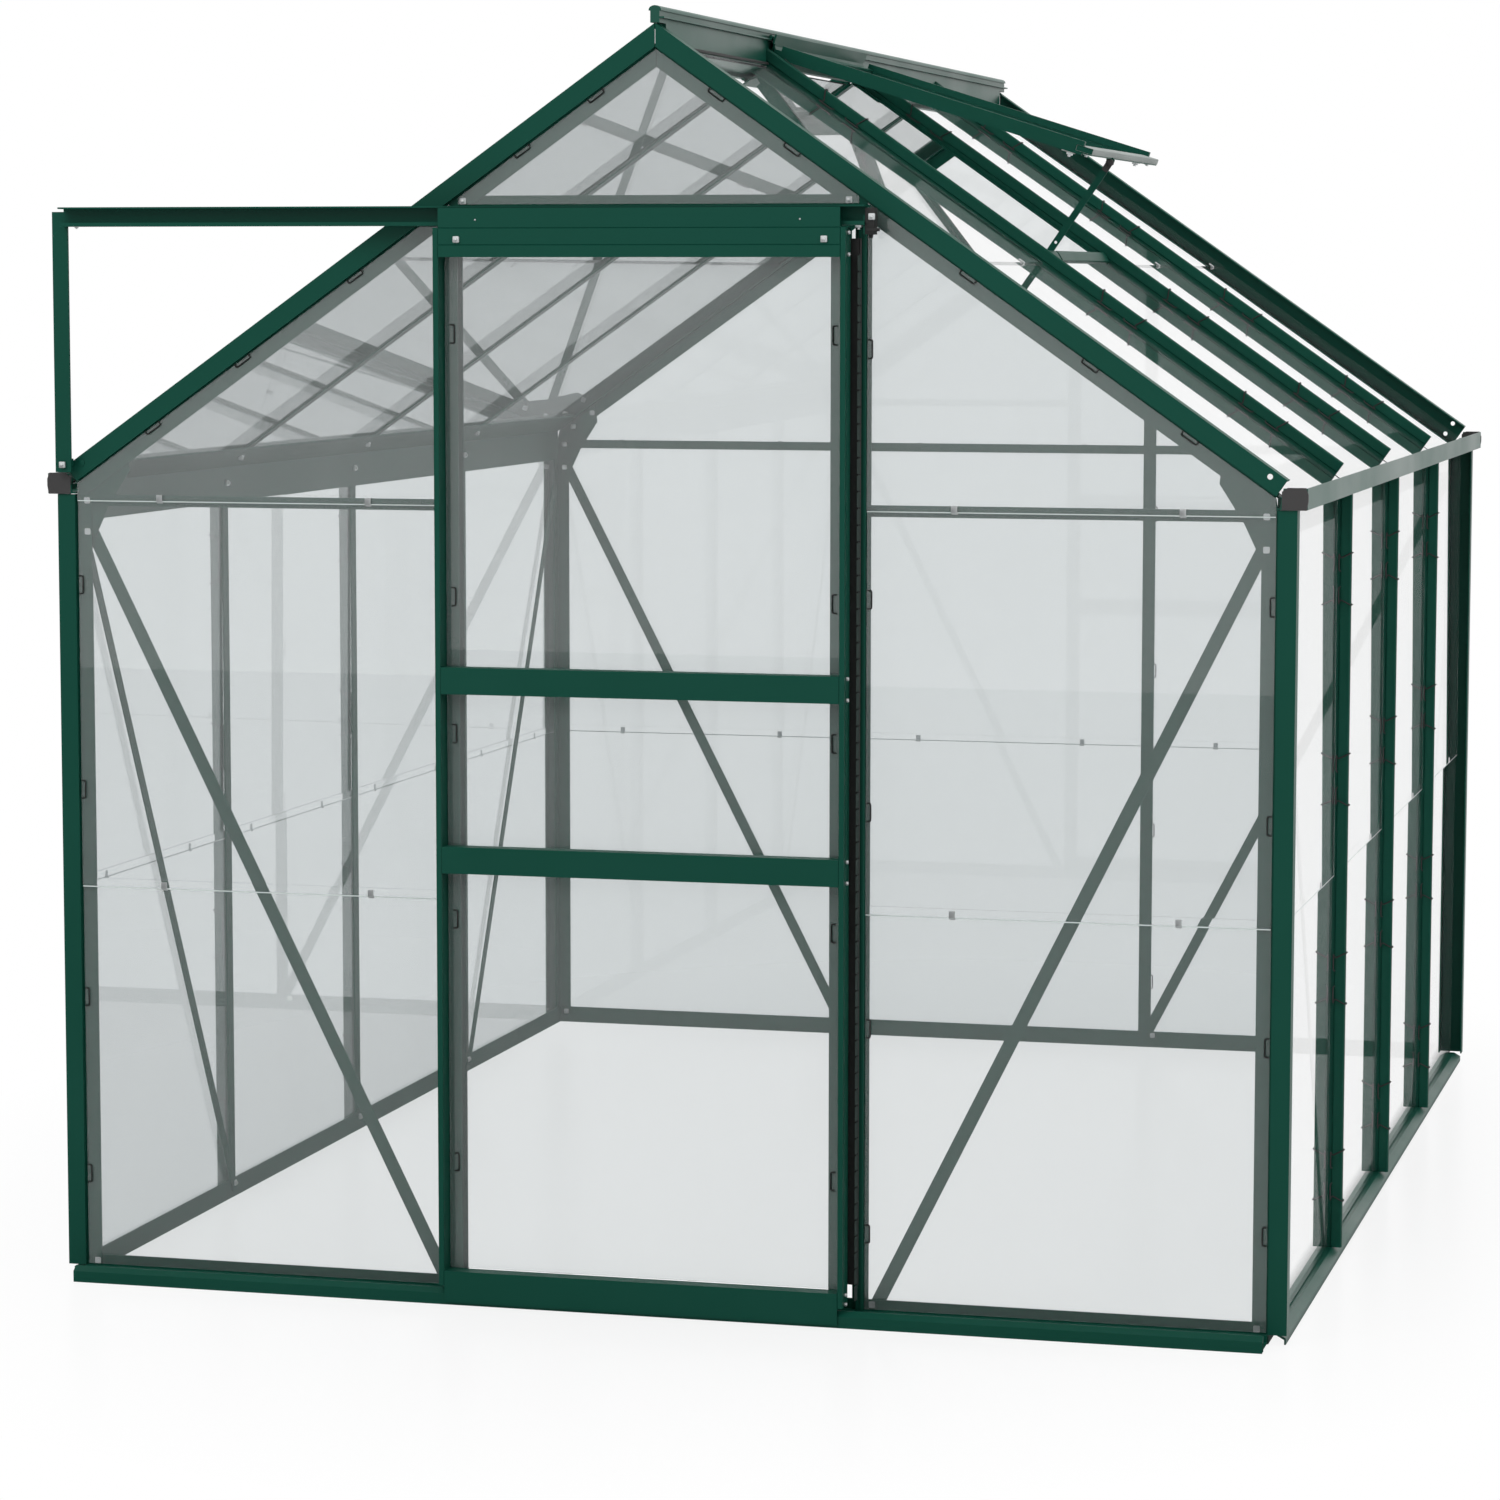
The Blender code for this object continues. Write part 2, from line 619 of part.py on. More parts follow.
def make_ridge():
    """Ridge bar: arched cap on a web; the web drops between the roof bars, clear of the rafters."""
    nose = roof_z(0, BAR_REACH) + GAP
    steps = 8
    cap = []
    for step in range(steps + 1):
        angle = math.pi * step / steps
        cap.append((RIDGE_CAP_HALF * math.cos(angle),
                    RIDGE_EAVE + (RIDGE_TOP - RIDGE_EAVE) * math.sin(angle)))
    lip = 0.0012
    upper = [
        (RIDGE_WEB_HALF, nose),
        (RIDGE_WEB_HALF, RIDGE_EAVE - lip + BITE),
        (RIDGE_CAP_HALF, RIDGE_EAVE - lip),
    ]
    upper += cap
    upper.append((-RIDGE_CAP_HALF, RIDGE_EAVE - lip))
    upper.append((-RIDGE_WEB_HALF, RIDGE_EAVE - lip + BITE))
    upper.append((-RIDGE_WEB_HALF, nose))
    ridge = prism("ridge_bar", upper, place(0, 0, 0), X, Z, Y, 0.0, LENGTH + RIDGE_OVERHANG, main)
    lower = [
        (-RIDGE_WEB_HALF, RIDGE_WEB_LOW),
        (RIDGE_WEB_HALF, RIDGE_WEB_LOW),
        (RIDGE_WEB_HALF, nose + 0.004),
        (-RIDGE_WEB_HALF, nose + 0.004),
    ]
    inset = FRONT_Y + CORNER_FLANGE + GAP
    drop = prism("ridge_web", lower, place(0, 0, 0), X, Z, Y, inset, LENGTH - inset, cutters)
    top = HINGE_Z - HINGE_R - GAP
    step = [
        (RIDGE_WEB_HALF - BITE, top - GUTTER_SHEET),
        (RIDGE_LEDGE, top - GUTTER_SHEET),
        (RIDGE_LEDGE, top),
        (RIDGE_WEB_HALF - BITE, top),
    ]
    ledge = prism("ridge_ledge", step, place(0, 0, 0), X, Z, Y,
                  0.001, LENGTH + RIDGE_OVERHANG - 0.001, cutters)
    finish(combine(ridge, [drop, ledge]), "paint")


def lapped(levels, lap):
    """Side outline of panes lapped like tiles: each upper pane stands on the outside of the one below."""
    near = GAP
    far = GAP + GLASS
    outer = [(near, levels[0]), (far, levels[0])]
    inner = []
    for level in levels[1:-1]:
        outer.append((far, level))
        outer.append((far + GLASS, level))
        inner.append((near, level + lap))
        inner.append((far, level + lap))
    outer.append((far, levels[-1]))
    inner.append((near, levels[-1]))
    return outer + list(reversed(inner))


LAP = 0.012


def trim_top(obj, level, height, tilt):
    """Set the top edge of a gable pane to the roof slope, in the pane's own tilted plane."""
    bm = bmesh.new()
    bm.from_mesh(obj.data)
    span = [vertex.co.z for vertex in bm.verts]
    if min(span) < -0.01 and max(span) > 0.01:
        bmesh.ops.bisect_plane(bm, geom=bm.verts[:] + bm.edges[:] + bm.faces[:], plane_co=(0, 0, 0),
                               plane_no=(0, 0, 1), dist=0.00001)
    for vertex in bm.verts:
        if abs(vertex.co.y - level) < 0.00001:
            vertex.co.y = height(vertex.co.z)
            vertex.co.x += tilt * (level - vertex.co.y)
    bm.to_mesh(obj.data)
    bm.free()


def make_wall_glass():
    low = FOOT_Z + 0.002
    high = EAVE_Z - 0.003
    for side, side_name in ((-1, "left"), (1, "right")):
        for index in range(BAYS):
            start = BAY * index + WEB_HALF + EDGE
            end = BAY * (index + 1) - WEB_HALF - EDGE
            if index == 0:
                start = FRONT_Y + EDGE
            if index == BAYS - 1:
                end = REAR_Y - EDGE
            pane = prism(f"{side_name}_wall_glass_{index + 1}", lapped([low, WALL_LAP_Z, high], LAP),
                         place(side * SIDE_X, 0, 0), X * side, Z, Y, start, end, main)
            finish(pane, "glass")


def make_roof_glass():
    for side, side_name in ((-1, "left"), (1, "right")):
        for index in range(BAYS):
            start = BAY * index + WEB_HALF + EDGE
            end = BAY * (index + 1) - WEB_HALF - EDGE
            if index == 0:
                start = FRONT_Y + EDGE
            if index == BAYS - 1:
                end = REAR_Y - EDGE
            top = (RIDGE_WEB_HALF + EDGE) / COS
            levels = [-ROOF_GLASS_END, -ROOF_LAP_S, -top]
            outline = lapped(levels, LAP)
            if side > 0 and index == 1:
                upper = -(SILL_S + SILL_WIDE + EDGE)
                outline = [(GAP, levels[0]), (GAP + GLASS, levels[0]), (GAP + GLASS, upper), (GAP, upper)]
            pane = prism(f"{side_name}_roof_glass_{index + 1}", outline, place(0, 0, APEX_Z),
                         normal(side), -down(side), Y, start, end, main)
            finish(pane, "glass")


def make_gable_glass():
    low = FOOT_Z + 0.002
    inner = JAMB_X + WEB_HALF + EDGE
    outer = SIDE_X - FLANGE - EDGE
    under = -(FLANGE + EDGE)
    mid = JAMB_X - WEB_HALF - EDGE
    columns = [
        ("front_left_glass", FRONT_Y, -1, -outer, -inner, low),
        ("front_right_glass", FRONT_Y, -1, inner, outer, low),
        ("rear_left_glass", REAR_Y, 1, -outer, -inner, low),
        ("rear_right_glass", REAR_Y, 1, inner, outer, low),
        ("rear_middle_glass", REAR_Y, 1, -mid, mid, low),
    ]
    for name, gable, out, start, end, foot in columns:
        top = roof_z(0 if start * end < 0 else inner, under)
        tilt = GLASS / (top - EAVE_LAP_Z)
        pane = prism(name, lapped([foot, WALL_LAP_Z, EAVE_LAP_Z, top], LAP), place(0, gable, 0),
                     Y * out, Z, X, start, end, main)
        trim_top(pane, top, lambda s: roof_z(s, under), tilt)
        finish(pane, "glass")
    top = roof_z(0, under)
    low = CROSSBAR[0] + 0.002
    outline = [(GAP, low), (GAP + GLASS, low), (GAP + GLASS, top), (GAP, top)]
    pane = prism("over_door_glass", outline, place(0, FRONT_Y, 0), -Y, Z, X, -mid, mid, main)
    trim_top(pane, top, lambda s: roof_z(s, under), 0.0)
    finish(pane, "glass")


def make_track():
    lip_in = TRACK_LIP + SHEET
    section = [
        (TRACK_BACK, TRACK_HIGH - SHEET - BITE),
        (TRACK_BACK, TRACK_HIGH),
        (TRACK_FRONT, TRACK_HIGH),
        (TRACK_FRONT, TRACK_HIGH - SHEET),
        (TRACK_WEB, TRACK_HIGH - SHEET),
        (TRACK_WEB, TRACK_LOW + SHEET),
        (lip_in, TRACK_LOW + SHEET),
        (lip_in, TRACK_LIP_Z),
        (TRACK_LIP, TRACK_LIP_Z),
        (TRACK_LIP, TRACK_LOW),
        (TRACK_WEB + SHEET, TRACK_LOW),
        (TRACK_WEB + SHEET, TRACK_HIGH - SHEET - BITE),
    ]
    track = prism("door_track", section, place(0, 0, 0), Y, Z, X, TRACK_LEFT, TRACK_RIGHT, main)
    strut_y = TRACK_WEB + SHEET - BITE
    strut_solid = box("track_strut", (STRUT_X[0], strut_y, STRUT_LOW),
                      (STRUT_X[1], strut_y + STRUT_T, TRACK_HIGH - SHEET - 0.004), cutters)
    reach = box("track_strut_arm", (STRUT_X[0] + 0.001, strut_y + BITE, STRUT_LOW + 0.008),
                (STRUT_X[1] - 0.004, -GAP, STRUT_LOW + 0.020), cutters)
    stop = box("track_stop", (TRACK_RIGHT - 0.003, TRACK_WEB - 0.012, TRACK_LOW - 0.013),
               (STOP_X, TRACK_WEB + SHEET + 0.002, TRACK_LOW + 0.014), cutters)
    finish(combine(track, [strut_solid, reach, stop]), "paint")


def make_door():
    front = DOOR_FRONT
    flange_front = front + DOOR_BACK - SHEET
    back = front + DOOR_BACK
    nose_back = flange_front
    glass_front = front + DOOR_GLASS_BACK - GLASS
    for side, edge, name in ((-1, DOOR_LEFT, "door_left_stile"), (1, DOOR_RIGHT, "door_right_stile")):
        outline = [
            (0.0, front),
            (STILE_NOSE - 0.001, front),
            (STILE_NOSE, front + 0.001),
            (STILE_NOSE, nose_back),
            (STILE_FLANGE, nose_back),
            (STILE_FLANGE, back),
            (0.0, back),
            (0.0, front + 0.020),
            (0.001, front + 0.019),
            (0.001, front + 0.011),
            (0.0, front + 0.010),
        ]
        stile = prism(name, outline, place(edge, 0, 0), X * -side, Y, Z, STILE_LOW, STILE_TOP, main)
        finish(stile, "paint")
    left = DOOR_LEFT + STILE_NOSE + GAP
    right = DOOR_RIGHT - STILE_NOSE - GAP
    rail_back = glass_front - GAP
    origin = place(0, 0, 0)
    sheet = SHEET
    rail_face = front + 0.0005
    for name, (low, high) in (("door_mid_rail_upper", RAIL_A), ("door_mid_rail_lower", RAIL_B)):
        section = [
            (rail_face, low),
            (rail_back, low),
            (rail_back, low + sheet),
            (rail_face + sheet, low + sheet),
            (rail_face + sheet, high - sheet),
            (rail_back, high - sheet),
            (rail_back, high),
            (rail_face, high),
        ]
        finish(prism(name, section, origin, Y, Z, X, left, right, main), "paint")
    low, high = BOTTOM_RAIL
    section = [
        (front, low),
        (front + sheet, low),
        (front + sheet, high - sheet),
        (rail_back, high - sheet),
        (rail_back, high),
        (front, high),
    ]
    finish(prism("door_bottom_rail", section, origin, Y, Z, X, left, right, main), "paint")
    plate = [(front, HEADER_LOW)]
    for groove in HEADER_GROOVES:
        plate.append((front, groove - GROOVE_T))
        plate.append((front + GROOVE_T, groove))
        plate.append((front, groove + GROOVE_T))
    plate += [
        (front, HEADER_HIGH),
        (front + sheet, HEADER_HIGH),
        (front + sheet, HEADER_SHELF),
        (rail_back, HEADER_SHELF),
        (rail_back, HEADER_SHELF - sheet),
        (front + sheet, HEADER_SHELF - sheet),
        (front + sheet, HEADER_LOW + sheet),
        (rail_back, HEADER_LOW + sheet),
        (rail_back, HEADER_LOW),
    ]
    header = prism("door_header", plate, origin, Y, Z, X, left, right, main)
    bosses = []
    for index, x in enumerate(AXLE_X):
        bosses.append(rod(f"axle_{index}", place(x, 0, AXLE_Z), Y, AXLE_R, front + sheet - BITE,
                          ROLLER_Y[1] + 0.001, cutters))
        bosses.append(rod(f"axle_shoulder_{index}", place(x, 0, AXLE_Z), Y, AXLE_R + 0.002,
                          front + sheet - BITE, ROLLER_Y[0] - GAP, cutters))
    finish(combine(header, bosses), "paint")
    pane = box("door_glass", (DOOR_LEFT + STILE_NOSE + 0.002, glass_front, high + 0.001),
               (DOOR_RIGHT - STILE_NOSE - 0.002, glass_front + GLASS, HEADER_SHELF - sheet - 0.001), main)
    finish(pane, "glass")
    for x, name in zip(AXLE_X, ("door_left_roller", "door_right_roller")):
        width = ROLLER_Y[1] - ROLLER_Y[0]
        wheel_y = (ROLLER_Y[0] + ROLLER_Y[1]) / 2
        wheel = rod(name, place(x, wheel_y, AXLE_Z), Y, ROLLER_R, -width / 2, width / 2, main, 32)
        bore = rod(f"{name}_bore", place(x, wheel_y, AXLE_Z), Y, AXLE_R + GAP, -width, width, cutters)
        finish(combine(wheel, [bore], "DIFFERENCE"), "plastic")


def make_vent():
    """Vent at its rest opening: ridge bead, two side rails and lower bar, with its glass and stay."""
    angle = math.radians(VENT_OPEN)
    run = Vector((math.cos(angle), 0, -math.sin(angle)))
    rise = Vector((math.sin(angle), 0, math.cos(angle)))
    start = BAY + GAP
    end = 2 * BAY - GAP
    origin = place(HINGE_X, 0, HINGE_Z)
    low_y = BAY + NOSE_HALF + VENT_SIDE
    high_y = 2 * BAY - NOSE_HALF - VENT_SIDE
    under = VENT_TOP - VENT_DEEP
    rail = [
        (VENT_START + 0.018, under),
        (VENT_LONG, under),
        (VENT_LONG, VENT_TOP),
        (VENT_START, VENT_TOP),
        (VENT_START, VENT_TOP - 0.012),
    ]
    frame = prism("vent_frame", rail, origin, run, rise, Y, low_y, low_y + VENT_RAIL, main)
    parts = [prism("vent_far_rail", rail, origin, run, rise, Y, high_y - VENT_RAIL, high_y, cutters)]
    face = HINGE_R + 0.0035
    plate = [(face, -0.0095), (face + 0.003, -0.0095), (face + 0.003, 0.006), (face, 0.006)]
    parts.append(prism("vent_hinge_plate", plate, origin, run, rise, Y, start, end, cutters))
    foot = [
        (face, -0.0145),
        (face + 0.008, VENT_BAR[0]),
        (VENT_START + 0.010, VENT_BAR[0]),
        (VENT_START + 0.010, VENT_BAR[1]),
        (face + 0.006, VENT_BAR[1]),
        (face + 0.003, -0.0125),
        (face + 0.003, -0.0093),
        (face, -0.0093),
    ]
    parts.append(prism("vent_upper_bar", foot, origin, run, rise, Y, low_y, high_y, cutters))
    near = VENT_LONG + 0.016 - VENT_BAR_WIDE
    far = VENT_LONG + 0.016
    bar = [(near, VENT_BAR[0]), (far, VENT_BAR[0]), (far, VENT_BAR[1]), (near, VENT_BAR[1])]
    parts.append(prism("vent_lower_bar", bar, origin, run, rise, Y, low_y, high_y, cutters))
    tongue = [(face + 0.001, 0.001)]
    sides = 20
    edge = math.asin(0.001 / HINGE_R)
    for step in range(sides + 1):
        angle_at = edge + (2 * math.pi - 2 * edge) * step / sides
        tongue.append((HINGE_R * math.cos(angle_at), HINGE_R * math.sin(angle_at)))
    tongue.append((face + 0.001, -0.001))
    parts.append(prism("vent_bead", tongue, origin, run, rise, Y, start + 0.002, end - 0.002, cutters))
    lug = [
        (far - 0.008, VENT_BAR[0] + 0.004),
        (far - 0.001, VENT_BAR[0] + 0.004),
        (STAY_A + 0.006, STAY_B + 0.006),
        (STAY_A + 0.006, STAY_B - 0.002),
        (STAY_A + 0.002, STAY_B - 0.0045),
        (STAY_A - 0.002, STAY_B - 0.0045),
        (STAY_A - 0.006, STAY_B - 0.002),
        (STAY_A - 0.008, VENT_BAR[0] - 0.001),
    ]
    lug_y = STAY_Y + STAY_T / 2 + GAP
    parts.append(prism("vent_lug", lug, origin, run, rise, Y, lug_y, lug_y + SHEET, cutters))
    pin = origin + run * STAY_A + rise * STAY_B
    parts.append(rod("vent_pin", pin, Y, AXLE_R, STAY_Y - STAY_T / 2 - 0.002, lug_y + BITE, cutters, 16))
    combine(frame, parts)
    groove = GLASS / 2 + GAP
    low = VENT_START + 0.010 - VENT_HOLD
    high = near + VENT_HOLD
    side = VENT_RAIL - VENT_HOLD
    slot = [
        (low, VENT_GLASS - groove),
        (high, VENT_GLASS - groove),
        (high, VENT_GLASS + groove),
        (low, VENT_GLASS + groove),
    ]
    pocket = prism("vent_pocket", slot, origin, run, rise, Y, low_y + side, high_y - side, cutters)
    finish(combine(frame, [pocket], "DIFFERENCE"), "paint")
    low += VENT_SLACK
    high -= VENT_SLACK
    inset = side + VENT_SLACK
    glass = [
        (low, VENT_GLASS - GLASS / 2),
        (high, VENT_GLASS - GLASS / 2),
        (high, VENT_GLASS + GLASS / 2),
        (low, VENT_GLASS + GLASS / 2),
    ]
    pane = prism("vent_glass", glass, origin, run, rise, Y, low_y + inset, high_y - inset, main)
    finish(pane, "glass")

    turn = math.radians(STAY_ANGLE)
    stay_run = (run * -math.cos(turn) - rise * math.sin(turn)).normalized()
    stay_rise = stay_run.cross(Y)
    wide = STAY_WIDE / 2
    ends = []
    for step in range(9):
        bend = math.pi * (0.5 + step / 8)
        ends.append((wide * math.cos(bend), wide * math.sin(bend)))
    far = STAY_LONG - wide
    outline = ends + [(far - u, -v) for u, v in ends]
    stay = prism("vent_stay", outline, pin + Y * STAY_Y, stay_run, stay_rise, Y,
                 -STAY_T / 2, STAY_T / 2, main)
    holes = [rod("stay_bore", pin + Y * STAY_Y, Y, AXLE_R + GAP, -STAY_T, STAY_T, cutters, 16)]
    for index in range(STAY_HOLES):
        spot = pin + Y * STAY_Y + stay_run * (far - index * 0.035)
        holes.append(rod(f"stay_hole_{index}", spot, Y, AXLE_R, -STAY_T, STAY_T, cutters, 12))
    finish(combine(stay, holes, "DIFFERENCE"), "zinc")

    # Sill of the opening, between the two roof bars, with the peg that the stay hooks on.
    low = SILL_S
    high = SILL_S + SILL_WIDE
    flange = FLANGE_HALF + GAP
    upper = [
        (GAP, low),
        (SILL_TOP, low),
        (SILL_TOP, low + 0.006),
        (SILL_LOW + SHEET, high + 0.012),
        (SILL_LOW, high + 0.012),
        (SILL_LOW, high),
        (GAP, high),
    ]
    lower = [(-FLANGE, low), (GAP + BITE, low), (GAP + BITE, high), (-FLANGE, high)]
    sill = prism("vent_sill", upper, place(0, 0, APEX_Z), normal(1), down(1), Y,
                 BAY + NOSE_HALF + GAP, 2 * BAY - NOSE_HALF - GAP, main)
    under = prism("vent_sill_under", lower, place(0, 0, APEX_Z), normal(1), down(1), Y,
                  BAY + flange, 2 * BAY - flange, cutters)
    peg = place(0, 0, APEX_Z) + normal(1) * 0.007 + down(1) * (low - 0.006)
    peg_root = box_on_roof("vent_peg_root", low - 0.010, low + BITE, 0.004, 0.010,
                           STAY_Y + 0.010, STAY_Y + 0.013)
    peg_rod = rod("vent_peg", peg, Y, 0.0022, STAY_Y + STAY_T / 2 + GAP, STAY_Y + 0.0102, cutters, 12)
    combine(sill, [under, peg_root, peg_rod])
    notch = box_on_roof("vent_sill_notch", low - 0.010, high + 0.014, SILL_LOW - GAP, 0.030,
                        STAY_Y - 0.004, lug_y + SHEET + 0.0025)
    finish(combine(sill, [notch], "DIFFERENCE"), "paint")


def box_on_roof(name, s0, s1, v0, v1, y0, y1):
    points = [(v0, s0), (v1, s0), (v1, s1), (v0, s1)]
    return prism(name, points, place(0, 0, APEX_Z), normal(1), down(1), Y, y0, y1, cutters)


clear_scene()
main = collection("greenhouse")
cutters = collection("cutters")
cutters.hide_render = True
make_sills()
make_posts()
gable_frame("front_frame", FRONT_Y, -1, True)
gable_frame("rear_frame", REAR_Y, 1, False)
make_rafters()
make_roof_bars()
make_gutters()
make_ridge()
make_wall_glass()
make_roof_glass()
make_gable_glass()
make_track()
make_door()
make_vent()
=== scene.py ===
# %% [markdown]
# A small glass greenhouse stands on a pale studio floor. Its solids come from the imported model, in metres,
# with the door gable towards -Y and the roof vent on the +X slope. This lesson dresses them: paint, glass,
# rubber, clips, bolts and the studio around them.

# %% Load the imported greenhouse
import math

import bmesh
import bpy
from mathutils import Matrix, Vector


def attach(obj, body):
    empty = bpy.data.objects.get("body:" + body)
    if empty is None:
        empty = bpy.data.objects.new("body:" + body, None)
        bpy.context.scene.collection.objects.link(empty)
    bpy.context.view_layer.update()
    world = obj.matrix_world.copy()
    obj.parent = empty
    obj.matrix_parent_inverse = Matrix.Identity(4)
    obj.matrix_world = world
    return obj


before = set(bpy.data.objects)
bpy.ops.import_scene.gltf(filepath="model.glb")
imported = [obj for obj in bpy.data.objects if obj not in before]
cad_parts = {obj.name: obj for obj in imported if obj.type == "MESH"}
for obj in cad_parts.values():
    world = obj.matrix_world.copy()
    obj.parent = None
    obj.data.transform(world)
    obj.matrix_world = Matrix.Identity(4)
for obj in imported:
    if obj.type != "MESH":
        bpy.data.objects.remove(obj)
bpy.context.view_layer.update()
print("solids:", len(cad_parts))

# %% [markdown]
# The model's middle lies between the door and the rear sill. These few sizes place every small fitting.
# They are the real product's: a wall column is 0.63 m wide and the roof rises 0.7023 for each metre across.

# %% Sizes that place the fittings
MID_Y = 1.24025
BAY = 0.630
LENGTH = 2.520
SIDE_X = 0.924
FRONT_Y = 0.009 - MID_Y
REAR_Y = LENGTH - 0.009 - MID_Y
ROOF_RISE = 0.7023
APEX_Z = 1.8818
SLOPE = math.atan(ROOF_RISE)
COS = math.cos(SLOPE)
SIN = math.sin(SLOPE)
DOOR_FRONT = -0.0535 - MID_Y
X = Vector((1, 0, 0))
Y = Vector((0, 1, 0))
Z = Vector((0, 0, 1))


def at_y(y):
    """Distance behind the front bars, as a model coordinate."""
    return y - MID_Y


def on_roof(side, s, v, y):
    """Point on a roof slope: s down from the apex, v out of the glass plane."""
    return Vector((side * (s * COS + v * SIN), at_y(y), APEX_Z - s * SIN + v * COS))


print("roof slope:", round(math.degrees(SLOPE), 2), "degrees")

# %% [markdown]
# The camera stands in front and to the right, a little above head height, with a long lens. Its place
# comes from fitting the real sizes to the picture, so no guess by eye is needed.

# %% Camera
camera_data = bpy.data.cameras.new("camera")
camera_data.sensor_width = 36.0
camera_data.lens = 108.391
camera = bpy.data.objects.new("camera", camera_data)
camera.location = (1.82283, at_y(-6.41697), 1.53852)
camera.rotation_euler = (math.radians(84.0706), math.radians(-0.0485), math.radians(14.6612))
bpy.context.scene.collection.objects.link(camera)
bpy.context.scene.camera = camera

# %% [markdown]
# A studio world: white where the camera, a mirror or a pane sees it, and a soft even grey as light.
# Light Path's ray switches keep the two apart, so the background is white without burning the object.

# %% Node helpers
def math_of(tree, operation, first, second):
    """Math node fed by two sockets; gives back its output."""
    node = tree.nodes.new("ShaderNodeMath")
    node.operation = operation
    tree.links.new(first, node.inputs[0])
    tree.links.new(second, node.inputs[1])
    return node.outputs["Value"]


def range_of(tree, value, start, end, low=0.0, high=1.0):
    """Map Range node that turns start to end into low to high; gives back its output."""
    node = tree.nodes.new("ShaderNodeMapRange")
    node.inputs["From Min"].default_value = start
    node.inputs["From Max"].default_value = end
    node.inputs["To Min"].default_value = low
    node.inputs["To Max"].default_value = high
    tree.links.new(value, node.inputs["Value"])
    return node.outputs["Result"]


def blend_of(tree, factor, first, second):
    """Mix Shader node between two shaders; gives back its output."""
    node = tree.nodes.new("ShaderNodeMixShader")
    tree.links.new(factor, node.inputs["Fac"])
    tree.links.new(first, node.inputs[1])
    tree.links.new(second, node.inputs[2])
    return node.outputs["Shader"]


def backdrop(tree, colour, strength):
    """Background node of one colour and strength; gives back its output."""
    node = tree.nodes.new("ShaderNodeBackground")
    node.inputs["Color"].default_value = (*colour, 1.0)
    node.inputs["Strength"].default_value = strength
    return node.outputs["Background"]


# %% World
world = bpy.data.worlds.new("studio")
bpy.context.scene.world = world
world.use_nodes = True
tree = world.node_tree
tree.nodes.clear()
output = tree.nodes.new("ShaderNodeOutputWorld")
rays = tree.nodes.new("ShaderNodeLightPath").outputs
direct = math_of(tree, "MAXIMUM", rays["Is Camera Ray"], rays["Is Transmission Ray"])
viewed = math_of(tree, "MAXIMUM", direct, rays["Is Glossy Ray"])
white = backdrop(tree, (1.0, 1.0, 1.0), 1.0)
soft = backdrop(tree, (0.94, 0.97, 1.0), 0.42)
tree.links.new(blend_of(tree, viewed, soft, white), output.inputs["Surface"])
bpy.context.scene.view_settings.view_transform = "Standard"
print("world:", len(tree.nodes), "nodes")


# %% Lamps
def area_lamp(name, place, aim, size, power):
    """Soft box at a place, turned to face a point. Panes and paint do not mirror it."""
    data = bpy.data.lights.new(name, "AREA")
    data.shape = "SQUARE"
    data.size = size
    data.energy = power
    lamp = bpy.data.objects.new(name, data)
    lamp.location = place
    lamp.visible_glossy = False
    lamp.visible_transmission = False
    lamp.rotation_euler = (Vector(aim) - Vector(place)).to_track_quat("-Z", "Y").to_euler()
    bpy.context.scene.collection.objects.link(lamp)


area_lamp("key_lamp", (-2.5, -6.5, 5.5), (0, 0, 0.9), 4.0, 190)
area_lamp("right_lamp", (6.0, -2.5, 4.0), (0, 0, 0.9), 4.0, 90)
area_lamp("top_lamp", (0.0, 0.5, 6.5), (0, 0, 0.5), 5.0, 110)

# %% [markdown]
# The floor is one big pale sheet. Close to the greenhouse it is lit, so that it keeps the soft shadow and a
# faint reflection; further out a radial mask turns it into plain white for rays that end in the camera.

# %% Floor as the camera sees it
bpy.ops.object.select_all(action="DESELECT")
bpy.ops.mesh.primitive_plane_add(size=60.0, location=(0, 0, -0.0006))
floor = bpy.context.object
floor.name = "floor"
floor_material = bpy.data.materials.new("floor")
floor_material.use_nodes = True
tree = floor_material.node_tree
shader = tree.nodes["Principled BSDF"]
shader.inputs["Base Color"].default_value = (0.93, 0.93, 0.93, 1.0)
shader.inputs["Roughness"].default_value = 0.22
place = tree.nodes.new("ShaderNodeTexCoord").outputs["Object"]
oval = tree.nodes.new("ShaderNodeMapping")
oval.inputs["Scale"].default_value = (1.0, 0.72, 1.0)
tree.links.new(place, oval.inputs["Vector"])
distance = tree.nodes.new("ShaderNodeVectorMath")
distance.operation = "LENGTH"
tree.links.new(oval.outputs["Vector"], distance.inputs[0])
LIT_TO = 0.95
WHITE_FROM = 1.7
fade = range_of(tree, distance.outputs["Value"], LIT_TO, WHITE_FROM, low=0.82)
white = tree.nodes.new("ShaderNodeEmission")
white.inputs["Color"].default_value = (1.0, 1.0, 1.0, 1.0)
seen_floor = blend_of(tree, fade, shader.outputs["BSDF"], white.outputs["Emission"])
